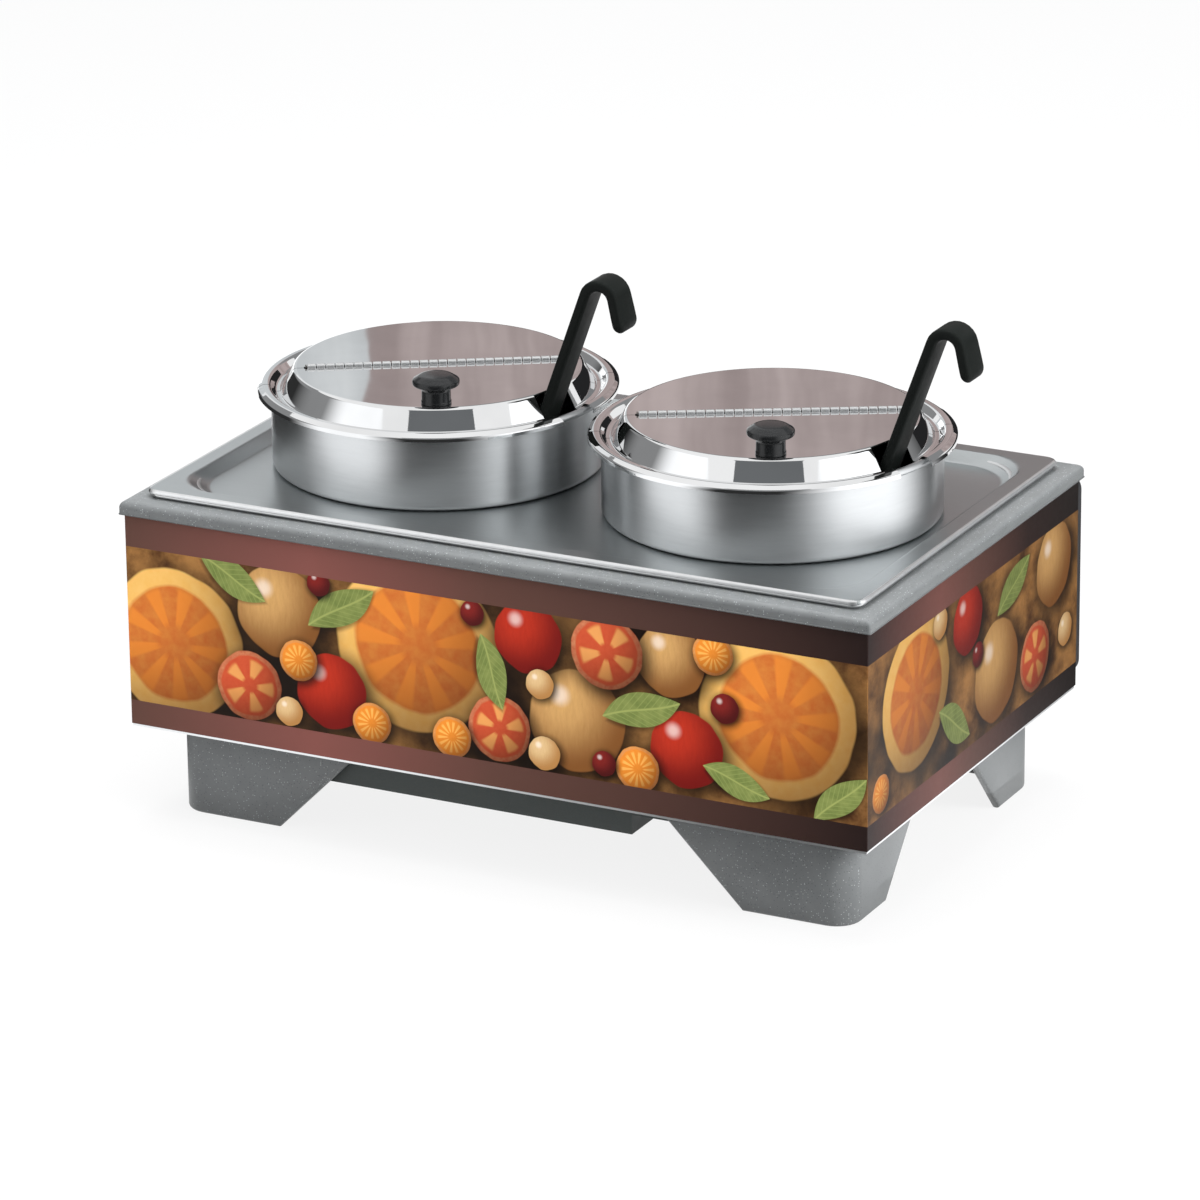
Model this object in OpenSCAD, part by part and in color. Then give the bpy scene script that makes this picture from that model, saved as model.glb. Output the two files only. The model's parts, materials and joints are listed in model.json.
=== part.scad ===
// Countertop soup station: a resin casing with a heated water well, a stainless
// adapter plate, two round insets with hinged covers, two ladles, a printed skirt
// round three sides and the controls at the rear.
// Millimetres. Origin on the table at the middle of the footprint.
// X runs to the right as seen from the front, Y to the rear, Z up.

/* [Casing] */
// Width of the casing's rim, left to right
rim_w = 552; // [546:1:564]
// Depth of the casing's rim, front to rear
rim_d = 349; // [345:1:358]
// Height of the skirt's lower edge above the table
leg_h = 64; // [60:1:70]
// Height of the skirt
skirt_h = 149; // [146:1:156]
// How far the rim stands out past the skirt
rim_overhang = 6.5; // [5:0.5:8]
// Height of the rim's upright face
rim_face_h = 7; // [5.5:0.5:8.5]
// Rise of the rim's sloping top
rim_rise = 2.6; // [2:0.1:4]
// Thickness of the casing's upper wall
casing_wall = 5; // [4:0.5:6]
// How far the legs stand in from the skirt
leg_inset = 21.5; // [19.5:0.5:22.5]
// Thickness of the leg walls
leg_wall = 6; // [5:0.5:6.5]
// Width of a front leg at the table
leg_w = 77; // [64:1:88]
// Depth of a side leg at the table
leg_d = 55.5; // [50:0.5:62]

/* [Well and plate] */
// Width of the rim beside the stainless plate
border_side = 16; // [14:0.5:18]
// Width of the rim in front of and behind the stainless plate
border_front = 16.5; // [14.5:0.5:18.5]
// Width of the flange round the recess
flange_w = 18; // [16:1:19]
// Depth of the recess in the plate
recess_depth = 7.2; // [6:0.2:9]
// Thickness of the plate's sheet
plate_t = 1; // [0.8:0.1:1.4]
// Thickness of the well's sheet
well_t = 0.9; // [0.8:0.1:1.2]
// Height of the well's floor above the skirt's lower edge
well_floor_up = 1.7; // [1:0.1:3]

/* [Insets] */
// Clear floor in front of and behind each inset
clear_front = 28; // [26:0.5:30]
// Clear floor beside each inset
clear_side = 6.5; // [5:0.5:8]
// Least distance between the two insets
pot_apart = 23; // [21:0.5:26]
// How far the collar stands out past the body below the plate
collar_step = 7.5; // [6.5:0.5:9]
// Height of the collar above the plate
collar_h = 52; // [48:1:60]
// Depth of water under each inset
water_depth = 8.6; // [8:0.2:12]
// Thickness of the inset's sheet
pot_t = 1; // [0.8:0.1:1.4]
// Radius of the rolled bead at the brim
bead_r = 2.6; // [2:0.1:3]

/* [Covers] */
// How far the cover's brim stands out past the collar
brim_out = 9; // [8:0.5:10]
// How far the flat top's edge stands in from the collar
flat_in = 16; // [15:0.5:18]
// Height of the flat top above the bead
flat_rise = 12; // [10:0.5:15]
// Thickness of the cover's sheet
cover_t = 1; // [0.8:0.1:1.2]
// Number of knuckles on each hinge
knuckle_count = 28; // [20:2:28]
// Distance from each end of a hinge to the edge of the flat top
hinge_end = 8.5; // [6:0.5:12]
// Radius of the hinge's knuckles
knuckle_r = 1.8; // [1.7:0.1:2]
// Radius of the hinge pin
pin_r = 0.7; // [0.6:0.1:0.8]
// Turn of the left cover
left_turn = 31.5; // [28:0.5:34]
// Turn of the right cover
right_turn = 28.8; // [26:0.2:32]
// Width of the ladle notch
notch_w = 32; // [31:1:36]
// Angle of the notch from the hinge
notch_angle = 43; // [42:0.5:44]
// Radius of the cover knob's head
knob_r = 15; // [13:0.5:17]
// Height of the cover knob
knob_h = 22.5; // [20:0.5:25]

/* [Ladles] */
// Lean of the ladles from upright
ladle_lean = 20; // [18:0.5:21]
// Width of the grip
grip_w = 18; // [16:0.5:19]
// Thickness of the grip
grip_t = 6; // [5:0.5:6.5]
// Length of the grip above the brim, up to the bend
grip_up = 102; // [95:1:110]
// Length of the bent hook
hook_len = 33; // [28:1:34]
// Outside radius of the bowl
bowl_r = 38; // [34:0.5:40]
// Thickness of the bowl
bowl_t = 1.2; // [1:0.1:1.5]

/* [Controls and heater] */
// Radius of the thermostat dial
dial_r = 20; // [18:0.5:22]
// Height of the thermostat dial
dial_h = 15; // [13:0.5:16]
// Radius of the heater tube
heater_r = 3.4; // [3:0.1:3.6]
// Half the distance between the heater's two runs
heater_half = 60; // [50:1:70]
// Bore radius of the cord gland
gland_bore_r = 4.5; // [4:0.1:5]

/* [Hidden] */
$fn = 64;
over = 1;
gap = 0.3;
touch = 0.1;
run_fit = 0.05;
pilot_gap = 0.02;
film_gap = 0.05;
hex_sides = 6;
knuckle_sides = 32;

// Levels above the table
well_lip = 2.9;
plate_lip = 2.5;
well_seat = 0.2;
shoulder_up = 2.5;
shoulder_t = 5;
base_plate_drop = 14;
base_plate_t = 1.5;
tray_drop = 28;
z_skirt_top = leg_h + skirt_h;
z_land = z_skirt_top + rim_face_h + rim_rise;
z_well_top = z_land + well_seat + well_lip;
z_plate_top = z_well_top + gap + plate_lip;
z_floor = z_plate_top - recess_depth;
z_shoulder = leg_h + shoulder_up;
z_well_floor = leg_h + well_floor_up;
z_base_plate = leg_h - base_plate_drop;
z_tray = leg_h - tray_drop;
z_collar = z_floor + gap;
z_bead = z_collar + collar_h;
z_pot_bottom = z_well_floor + water_depth;

// Skirt and casing outlines
graphic_t = 0.6;
skirt_t = 1;
bright_edge = 1.6;
skirt_w = rim_w - 2 * rim_overhang;
skirt_d = rim_d - 2 * rim_overhang;
shell_w = skirt_w - 2 * graphic_t;
shell_d = skirt_d - 2 * graphic_t;
upper_w = shell_w - 2 * skirt_t - 2 * gap;
upper_d = shell_d - 2 * skirt_t - 2 * gap;
lower_w = skirt_w - 2 * leg_inset;
lower_d = skirt_d - 2 * leg_inset;
lower_r = 18;
hem_w = 8;
return_w = 20;
y_case_rear = upper_d / 2;
// Where the front and rear walls meet the side walls
y_casing_joint = lower_d / 2 - lower_r;
y_return = y_case_rear + gap;
y_panel = y_return + skirt_t + gap;
y_panel_face = rim_d / 2;
land_margin = 2;
rim_edge = 2.5;
rim_edge_shares = [[0, -0.5], [0.3, 0.15], [1, 0.45]];

// Plate and well outlines
plate_w = rim_w - 2 * border_side;
plate_d = rim_d - 2 * border_front;
plate_r = 9;
recess_w = plate_w - 2 * flange_w;
recess_d = plate_d - 2 * flange_w;
recess_r = 40;
plate_gap = 0.5;
well_flange_inset = 2;
well_flange_r = 8;
well_open_w = recess_w + 2 * plate_t + 2 * plate_gap;
well_open_d = recess_d + 2 * plate_t + 2 * plate_gap;
well_open_r = recess_r + plate_t + plate_gap;
well_step = 10;
well_step_drop = 20;
well_low_w = well_open_w - 2 * well_step;
well_low_d = well_open_d - 2 * well_step;
well_low_r = well_open_r - well_step;
casing_open_gap = 0.6;

// Insets, as large as the plate's recess takes in both directions
collar_r = min(recess_d / 2 - clear_front, (recess_w - 2 * clear_side - pot_apart) / 4);
pot_pitch = recess_w - 2 * clear_side - 2 * collar_r;
body_r = collar_r - collar_step;
hole_gap = 1.9;
hole_r = body_r + hole_gap;
collar_round = 4;
body_round = 12;
bead_in = 0.6;
bead_x = collar_r + bead_r - bead_in;

// Screw sizes
screw_r = 2;
screw_head_r = 3.6;
screw_head_h = 2.2;
screw_clear = 0.25;
screw_margin = 14;
tray_screw_len = 16;

// Legs and bottom tray
window_up = 0.5;
window_top = leg_h + window_up;
side_slope_share = 0.9;
corner_block = 13;
tray_left_in = 39;
tray_right = 88;
tray_gap = 2.5;
tray_wall = 1.5;
base_plate_gap = 2;
base_plate_r = 9;
base_plate_w = lower_w - 2 * leg_wall - 2 * base_plate_gap;
base_plate_d = lower_d - 2 * leg_wall - 2 * base_plate_gap;
tray_left = tray_left_in + leg_wall - lower_w / 2;
tray_d = lower_d - 2 * leg_wall - 2 * tray_gap;
corner_x = lower_w / 2 - leg_wall - corner_block / 2;
corner_y = lower_d / 2 - leg_wall - corner_block / 2;

// Cover section, from the middle outwards
cover_r = collar_r + brim_out;
flat_r = collar_r - flat_in;
cover_seat = 0.4;
cover_round = 2;
groove_in = 4.5;
groove_round = 2;
hump_h = 5;
z_bead_top = z_bead + bead_r;
z_flat = z_bead_top + flat_rise;
z_hump = z_bead_top + cover_seat + cover_t;
z_groove = z_hump - hump_h;
groove_r = collar_r - groove_in;
flat_edge_shares = [[-1, 0], [0, -0.35], [0.8, -1.2]];
groove_shares = [[-1.3, 0.7], [-0.7, 0.15], [0, 0]];
hump_shares = [[0.8, -0.08], [1.2, 0], [1.8, 0]];
brim_shares = [[-0.24, -0.4], [0, -1]];
brim_inside_shares = [[0, -1], [-0.2, -0.52]];
hump_inside_shares = [[1.72, 0], [1, 0]];
groove_inside_shares = [[0.35, 0.2], [-0.1, 0], [-0.9, 0.15], [-1.8, 1]];
flat_inside_shares = [[0.3, -0.9], [-0.3, -0.3], [-1.1, 0]];
function around(place, size, shares) = [for (share = shares) place + size * share];
cover_outer = concat(
  [[0, z_flat]],
  around([flat_r, z_flat], cover_round, flat_edge_shares),
  around([groove_r, z_groove], groove_round, groove_shares),
  around([groove_r, z_hump], hump_h, hump_shares),
  around([cover_r, z_hump], hump_h, brim_shares)
);
cover_inner = concat(
  around([cover_r - cover_t, z_hump], hump_h, brim_inside_shares),
  around([groove_r, z_hump - cover_t], hump_h, hump_inside_shares),
  around([groove_r, z_groove - cover_t], groove_round, groove_inside_shares),
  around([flat_r, z_flat - cover_t], cover_round, flat_inside_shares),
  [[0, z_flat - cover_t]]
);
hinge_len = 2 * flat_r - 2 * hinge_end;
seam = 0.6;
hinge_slot = 4.6;
hinge_slot_end = 2;
hinge_up = 0.6;
z_hinge = z_flat + hinge_up;
knuckle_pitch = hinge_len / knuckle_count;
knuckle_gap = 0.25;
tab_in = 1;
tab_out = 3;
notch_back = 1.5;
notch_in = flat_r - notch_back;
knob_in = 11.5;
knob_side = 6;
knob_y = flat_r - knob_in;
knob_base_r = 10;
knob_base_h = 1.5;
knob_neck_r = 9.2;
knob_neck_low = 3.5;
knob_neck_share = 0.55;
knob_under = 2;
knob_round = 4;
knob_under_shares = [[0, -0.5], [1, 0.3]];
knob_edge_shares = [[-0.375, 0.4], [0, 0.85]];
knob_top_shares = [[0, -1.1], [-0.3, -0.5], [-1, -0.125]];
knob_flat_share = 0.5;
knob_bore_depth = 13;
knob_screw_short = 0.4;
pin_head_r = 1.5;
pin_head_t = 0.8;

// Ladle placing, from the middle of its inset
ladle_in = 16;
ladle_side_share = 0.25;
ladle_up = 1;
ladle_x = collar_r - ladle_in;
ladle_y = -ladle_x * ladle_side_share;
z_ladle = z_bead + ladle_up;
strip_t = 2;
strip_w = 15;
strip_short = 8;
strip_top = grip_up - strip_short;
grip_low = -25;
bend_r = 6;
bend_angle = 135;
hook_turn = 180 - bend_angle;
bend_steps = 10;
bowl_join = 0.5;
bowl_x = bowl_r - bowl_join;
z_bowl_seat = z_pot_bottom + pot_t + gap;
bowl_drop = (z_ladle + bowl_x * sin(ladle_lean) - bowl_r - z_bowl_seat) / cos(ladle_lean);

// Rear panel and controls
panel_wall = 2.2;
panel_r = 10;
panel_side_in = 0.8;
panel_w = skirt_w - 2 * panel_side_in;
panel_low = 8;
z_panel = leg_h + panel_low;
panel_h = skirt_h - panel_low - gap;
dial_in = 118.7;
dial_up = 78;
dial_x = dial_in - panel_w / 2;
z_dial = leg_h + dial_up;
dial_gap = 4;
cup_depth = 10;
cup_floor_y = y_panel_face - cup_depth;
dial_foot = 1;
dial_skirt_h = 5;
dial_step = 4;
dial_step_h = 3;
dial_grip_half = 5;
dial_grip_low = 5;
dial_grip_high = 2;
dial_cap = 4;
stem_r = 3;
stem_hole_gap = 0.6;
stem_back = 14;
stem_end_gap = 0.5;
therm_gap = 0.2;
therm_w = 42;
therm_d = 22;
therm_h = 36;
y_therm_face = cup_floor_y - panel_wall - therm_gap;
y_therm = y_therm_face - therm_d / 2;
lamp_from_dial = 58;
lamp_x = dial_x + lamp_from_dial;
lamp_r = 6;
lamp_body_r = 5;
lamp_rim = 1.5;
lamp_rim_t = 1.3;
lamp_back = 16;
lamp_dome = 3;
lamp_nut_r = 8;
lamp_nut_t = 2.5;
rocker_from_lamp = 36;
rocker_x = lamp_x + rocker_from_lamp;
rocker_w = 17;
rocker_h = 25;
switch_wall = 2.2;
switch_back = 21;
switch_floor = 6;
bezel = 1.6;
bezel_t = 1.4;
rocker_pin_r = 1.5;
rocker_pin_out = 1.4;
rocker_pin_gap = 0.2;
rocker_tilt = 7;
rocker_depth = 7;
rocker_rise = 3.2;
rocker_side_gap = 0.4;
rocker_end_gap = 1.2;
rocker_back_share = 0.33;
pivot_in = 2.5;
window_margin = 14;
gland_in = 53.7;
gland_up = 32;
gland_x = panel_w / 2 - gland_in;
z_gland = leg_h + gland_up;
gland_r = 8;
gland_flange_r = 12;
gland_flange_t = 3;
gland_inner = 14;
gland_outer = 5;
gland_nut_t = 3.5;
gland_nut_r = 11;
gland_window_gap = 2;

// Heater, sensor and wiring
heater_gap = 0.7;
z_heater = z_well_floor - well_t - heater_gap - heater_r;
heater_left_in = 48.5;
heater_right_in = 93.5;
heater_left = heater_left_in - well_low_w / 2;
heater_right = well_low_w / 2 - heater_right_in;
heater_pin_r = 2;
heater_pin_low = 17;
strap_x = 90;
strap_w = 12;
strap_t = 1.5;
strap_past = 12;
strap_len = 2 * heater_half + 2 * strap_past;
strap_gap = 0.2;
z_strap = z_heater - heater_r - strap_gap;
stud_r = 2;
stud_low = 3.4;
stud_nut_r = 3.8;
stud_nut_h = 2.6;
bulb_r = 3;
bulb_half = 42;
bulb_y = 14;
bulb_drop = 0.6;
capillary_r = 0.9;
capillary_beside = 6;
capillary_up = 3;
block_in = 29;
block_x = dial_x;
block_y = tray_d / 2 - block_in;
block_w = 44;
block_d = 20;
block_h = 9;
block_screw_shares = [-1.5, -0.5, 0.5, 1.5];
wire_r = 1.3;
wire_gap = 0.3;
wire_up = 5;
wire_stub = 5;
wire_edge = 3.5;
wire_over = 4;
wire_off = 2.7;
wire_bend_low = 24;
wire_bend_high = 13;
elbow_share = 1.4;
elbow_in_share = 1.1;
wire_y = well_low_d / 2 + well_t + wire_off;
wire_in_y = tray_d / 2 - tray_wall - wire_edge;
z_wire = z_tray + tray_wall + wire_up;
z_wire_over = z_base_plate + base_plate_t + wire_over;
insulation_gap = 0.3;
insulation_t = 13;
insulation_up = 2;
insulation_down = 6;
z_insulation_low = z_shoulder + shoulder_t + insulation_up;
z_insulation_top = z_well_top - well_step_drop - insulation_down;

// A rectangle with round corners
module rounded(w, d, r) {
  square([w, d - 2 * r], center = true);
  square([w - 2 * r, d], center = true);
  for (sx = [-1, 1], sy = [-1, 1])
    translate([sx * (w / 2 - r), sy * (d / 2 - r)])
      circle(r = r);
}

module slab(w, d, r, z0, z1) {
  translate([0, 0, z0])
    linear_extrude(height = z1 - z0)
      rounded(w, d, r);
}

module block(x0, x1, y0, y1, z0, z1) {
  translate([x0, y0, z0])
    cube([x1 - x0, y1 - y0, z1 - z0]);
}

// A cylinder from y0 to y1 along Y
module rod_y(r, x, z, y0, y1) {
  translate([x, y0, z])
    rotate([-90, 0, 0])
      cylinder(r = r, h = y1 - y0);
}

module rod_z(r, x, y, z0, z1) {
  translate([x, y, z0])
    cylinder(r = r, h = z1 - z0);
}

// A round rod between two points
module rod(a, b, r) {
  v = b - a;
  len = norm(v);
  translate(a)
    rotate([0, acos(v[2] / len), atan2(v[1], v[0])])
      cylinder(r = r, h = len);
}

// A round wire through a list of points, with a square clip at each bend
module wire(path, r) {
  last = len(path) - 1;
  for (i = [0 : last - 1]) {
    along = (path[i + 1] - path[i]) / norm(path[i + 1] - path[i]);
    rod(
      path[i] + (i > 0 ? elbow_in_share * r : 0) * along,
      path[i + 1] - (i < last - 1 ? elbow_in_share * r : 0) * along, r
    );
  }
  for (i = [1 : last - 1])
    translate(path[i])
      cube(2 * r * elbow_share, center = true);
}

// Section of the rim: upright face, round edge and a slope up to the flat land
module rim_profile(w, land) {
  edge = [for (share = rim_edge_shares) [w / 2 - rim_edge * share[0], rim_face_h + rim_edge * share[1]]];
  right = concat([[w / 2, 0]], edge, [[land / 2, rim_face_h + rim_rise]]);
  left = [for (k = [len(right) - 1 : -1 : 0]) [-right[k][0], right[k][1]]];
  polygon(concat(right, left));
}

// Opening that the well hangs in, from the rim's underside upwards
module well_opening() {
  slab(
    well_open_w + 2 * well_t + 2 * casing_open_gap, well_open_d + 2 * well_t + 2 * casing_open_gap,
    well_open_r + well_t + casing_open_gap, z_skirt_top - over, z_land + over
  );
}

module rim() {
  color([0.42, 0.43, 0.45])
    difference() {
      intersection() {
        translate([0, rim_d / 2, z_skirt_top])
          rotate([90, 0, 0])
            linear_extrude(height = rim_d)
              rim_profile(rim_w, plate_w + 2 * land_margin);
        translate([-rim_w / 2, 0, z_skirt_top])
          rotate([90, 0, 90])
            linear_extrude(height = rim_w)
              rim_profile(rim_d, plate_d + 2 * land_margin);
      }
      well_opening();
    }
}

// Gaps between the legs, wider at the table
module leg_windows() {
  front_half = lower_w / 2 - leg_w;
  side_half = lower_d / 2 - leg_d;
  translate([0, lower_d, 0])
    rotate([90, 0, 0])
      linear_extrude(height = 2 * lower_d)
        polygon([
          [-front_half - over, -over],
          [front_half + over, -over],
          [front_half - window_top, window_top],
          [window_top - front_half, window_top]
        ]);
  translate([-lower_w, 0, 0])
    rotate([90, 0, 90])
      linear_extrude(height = 2 * lower_w)
        polygon([
          [-side_half - over, -over],
          [side_half + over, -over],
          [side_half - window_top * side_slope_share, window_top],
          [window_top * side_slope_share - side_half, window_top]
        ]);
}

// Upper walls with an inward shoulder that stands on the leg frame
module casing_shell() {
  difference() {
    block(-upper_w / 2, upper_w / 2, -upper_d / 2, upper_d / 2, z_shoulder, z_skirt_top);
    block(
      -upper_w / 2 + casing_wall, upper_w / 2 - casing_wall,
      -upper_d / 2 + casing_wall, upper_d / 2 - casing_wall,
      z_shoulder + shoulder_t, z_skirt_top + over
    );
    slab(
      lower_w - 2 * leg_wall, lower_d - 2 * leg_wall, lower_r - leg_wall,
      z_shoulder - over, z_shoulder + shoulder_t + over
    );
    // Window behind the controls
    block(
      dial_x - dial_r - window_margin, rocker_x + rocker_w / 2 + window_margin,
      y_case_rear - casing_wall - over, y_case_rear + over,
      z_dial - dial_r - window_margin, z_dial + dial_r + window_margin
    );
    rod_y(
      gland_nut_r + gland_window_gap, gland_x, z_gland,
      y_case_rear - casing_wall - over, y_case_rear + over
    );
    panel_screw_set(screw_r + pilot_gap, y_case_rear - casing_wall - over, y_panel_face);
  }
}

// One side of the upper walls, as far as the joints with its neighbours
module casing_part(x0, x1, y0, y1) {
  color([0.42, 0.43, 0.45])
    intersection() {
      casing_shell();
      block(x0, x1, y0, y1, 0, 2 * z_skirt_top);
    }
}

module casing_front() {
  casing_part(-upper_w, upper_w, -upper_d, -y_casing_joint);
}

module casing_rear() {
  casing_part(-upper_w, upper_w, y_casing_joint, upper_d);
}

module casing_left() {
  casing_part(-upper_w, 0, -y_casing_joint, y_casing_joint);
}

module casing_right() {
  casing_part(0, upper_w, -y_casing_joint, y_casing_joint);
}

// Four corner legs joined at the top, with a block in each corner for the tray's screws
module leg_frame() {
  color([0.42, 0.43, 0.45])
    difference() {
      slab(lower_w, lower_d, lower_r, 0, z_shoulder);
      difference() {
        slab(
          lower_w - 2 * leg_wall, lower_d - 2 * leg_wall, lower_r - leg_wall,
          -over, z_shoulder + over
        );
        for (sx = [-1, 1], sy = [-1, 1])
          translate([sx * corner_x, sy * corner_y, z_base_plate + base_plate_t + gap])
            translate([-corner_block / 2, -corner_block / 2, 0])
              cube([corner_block, corner_block, 2 * leg_h]);
      }
      leg_windows();
      for (sx = [-1, 1], sy = [-1, 1])
        rod_z(screw_r + pilot_gap, sx * corner_x, sy * corner_y, 0, z_shoulder + over);
    }
}

// Places of the rear panel's fixing screws
module panel_screw_set(r, y0, y1) {
  for (x = [screw_margin - panel_w / 2, 0, panel_w / 2 - screw_margin])
    for (up = [screw_margin, panel_h - screw_margin])
      rod_y(r, x, z_panel + up, y0, y1);
}

module well_liner() {
  color([0.72, 0.73, 0.74])
    difference() {
      union() {
        slab(
          plate_w - 2 * well_flange_inset, plate_d - 2 * well_flange_inset, well_flange_r,
          z_well_top - well_lip, z_well_top
        );
        slab(
          well_open_w + 2 * well_t, well_open_d + 2 * well_t, well_open_r + well_t,
          z_well_top - well_step_drop - well_t, z_well_top
        );
        slab(
          well_low_w + 2 * well_t, well_low_d + 2 * well_t, well_low_r + well_t,
          z_well_floor - well_t, z_well_top - well_step_drop
        );
      }
      // Hollow under the flange, inside its turned-down edge
      difference() {
        slab(
          plate_w - 2 * well_flange_inset - 2 * well_t, plate_d - 2 * well_flange_inset - 2 * well_t,
          well_flange_r - well_t, z_well_top - well_lip - over, z_well_top - well_t
        );
        slab(
          well_open_w + 2 * well_t, well_open_d + 2 * well_t, well_open_r + well_t,
          z_well_top - well_step_drop, z_well_top
        );
      }
      slab(well_open_w, well_open_d, well_open_r, z_well_top - well_step_drop, z_well_top + over);
      slab(well_low_w, well_low_d, well_low_r, z_well_floor, z_well_top);
    }
}

module insulation() {
  color([0.86, 0.83, 0.72])
    difference() {
      slab(
        well_low_w + 2 * well_t + 2 * insulation_gap + 2 * insulation_t,
        well_low_d + 2 * well_t + 2 * insulation_gap + 2 * insulation_t,
        well_low_r + insulation_t, z_insulation_low, z_insulation_top
      );
      slab(
        well_low_w + 2 * well_t + 2 * insulation_gap, well_low_d + 2 * well_t + 2 * insulation_gap,
        well_low_r + well_t, z_insulation_low - over, z_insulation_top + over
      );
      // Left open behind the controls and at the cord gland
      block(
        dial_x - therm_w, rocker_x + rocker_w + window_margin,
        0, rim_d, z_insulation_low - over, z_insulation_top + over
      );
      block(
        gland_x - 2 * gland_flange_r, gland_x + 2 * gland_flange_r,
        well_low_d / 2, rim_d, z_insulation_low - over, z_gland + 2 * gland_flange_r
      );
    }
}

module heater_tube() {
  color([0.30, 0.29, 0.28])
    union() {
      for (sy = [-1, 1]) {
        rod([heater_left, sy * heater_half, z_heater], [heater_right, sy * heater_half, z_heater], heater_r);
        rod_z(heater_pin_r, heater_left + heater_r, sy * heater_half, z_heater - heater_pin_low, z_heater);
      }
      translate([heater_right, 0, z_heater])
        rotate([0, 0, -90])
          rotate_extrude(angle = 180)
            translate([heater_half, 0])
              circle(r = heater_r);
    }
}

module heater_straps() {
  color([0.66, 0.67, 0.68])
    for (sx = [-1, 1])
      union() {
        block(
          sx * strap_x - strap_w / 2, sx * strap_x + strap_w / 2,
          -strap_len / 2, strap_len / 2, z_strap - strap_t, z_strap
        );
        rod_z(stud_r, sx * strap_x, 0, z_strap - strap_t - stud_low, z_well_floor - well_t - strap_gap);
      }
}

module heater_nuts() {
  color([0.60, 0.60, 0.58])
    for (sx = [-1, 1])
      difference() {
        translate([sx * strap_x, 0, z_strap - strap_t - stud_nut_h - strap_gap])
          cylinder(r = stud_nut_r, h = stud_nut_h, $fn = hex_sides);
        rod_z(stud_r + pilot_gap, sx * strap_x, 0, z_tray, z_strap);
      }
}

module bottom_tray() {
  color([0.14, 0.16, 0.15])
    difference() {
      union() {
        slab(base_plate_w, base_plate_d, base_plate_r, z_base_plate, z_base_plate + base_plate_t);
        block(tray_left, tray_right, -tray_d / 2, tray_d / 2, z_tray, z_base_plate + base_plate_t);
      }
      block(
        tray_left + tray_wall, tray_right - tray_wall, -tray_d / 2 + tray_wall, tray_d / 2 - tray_wall,
        z_tray + tray_wall, z_base_plate + base_plate_t + over
      );
      for (sx = [-1, 1], sy = [-1, 1])
        rod_z(screw_r + screw_clear, sx * corner_x, sy * corner_y, z_tray, z_base_plate + 2 * base_plate_t);
    }
}

module tray_screws() {
  color([0.62, 0.62, 0.60])
    for (sx = [-1, 1], sy = [-1, 1])
      union() {
        rod_z(screw_r, sx * corner_x, sy * corner_y, z_base_plate - over, z_base_plate + tray_screw_len);
        rod_z(
          screw_head_r, sx * corner_x, sy * corner_y,
          z_base_plate - touch - screw_head_h, z_base_plate - touch
        );
      }
}

module terminal_block() {
  z0 = z_tray + tray_wall + touch;
  color([0.82, 0.80, 0.74])
    difference() {
      block(
        block_x - block_w / 2, block_x + block_w / 2, block_y - block_d / 2, block_y + block_d / 2,
        z0, z0 + block_h
      );
      for (share = block_screw_shares)
        rod_z(screw_r, block_x + share * block_w / 4, block_y, z0 + block_h / 2, z0 + block_h + over);
    }
}

module lead_wires() {
  y_block = block_y + block_d / 2 + wire_gap;
  z_therm = z_dial - therm_h / 2 - wire_gap;
  z_switch = z_dial - rocker_h / 2 - switch_wall - wire_gap;
  x_switch = block_x + block_w / 4;
  y_switch = y_case_rear - wire_over;
  pin_x = heater_left + heater_r + heater_pin_r + wire_gap;
  color([0.70, 0.20, 0.16])
    union() {
      wire([
        [dial_x, y_block, z_wire], [dial_x, wire_in_y, z_wire], [dial_x, wire_in_y, z_wire_over],
        [dial_x, wire_y, z_wire_over], [dial_x, wire_y, z_therm - wire_bend_low],
        [dial_x, y_therm, z_therm - wire_bend_high], [dial_x, y_therm, z_therm]
      ], wire_r);
      wire([
        [x_switch, y_block, z_wire], [x_switch, y_block + wire_stub, z_wire],
        [rocker_x, wire_in_y, z_wire], [rocker_x, wire_in_y, z_wire_over],
        [rocker_x, wire_y, z_wire_over], [rocker_x, wire_y, z_switch - wire_bend_low],
        [rocker_x, y_switch, z_switch - wire_bend_high], [rocker_x, y_switch, z_switch]
      ], wire_r);
      for (sy = [-1, 1])
        wire([
          [pin_x, sy * heater_half, z_wire], [block_x - sy * block_w / 4, sy * heater_half, z_wire],
          [block_x - sy * block_w / 4, block_y - block_d / 2 - wire_gap, z_wire]
        ], wire_r);
    }
}

module sensor_bulb() {
  z_bulb = z_heater - bulb_drop;
  z_low = z_base_plate + base_plate_t + capillary_up;
  cap_x = dial_x + therm_w / 2 + capillary_beside;
  color([0.72, 0.44, 0.28])
    union() {
      rod([-bulb_half, bulb_y, z_bulb], [bulb_half, bulb_y, z_bulb], bulb_r);
      wire([
        [-bulb_half + over, bulb_y, z_bulb], [cap_x, bulb_y, z_bulb], [cap_x, bulb_y, z_low],
        [cap_x, wire_y, z_low], [cap_x, wire_y, z_dial - therm_h / 2], [cap_x, y_therm, z_dial],
        [dial_x + therm_w / 2 + wire_gap, y_therm, z_dial]
      ], capillary_r);
    }
}

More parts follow.
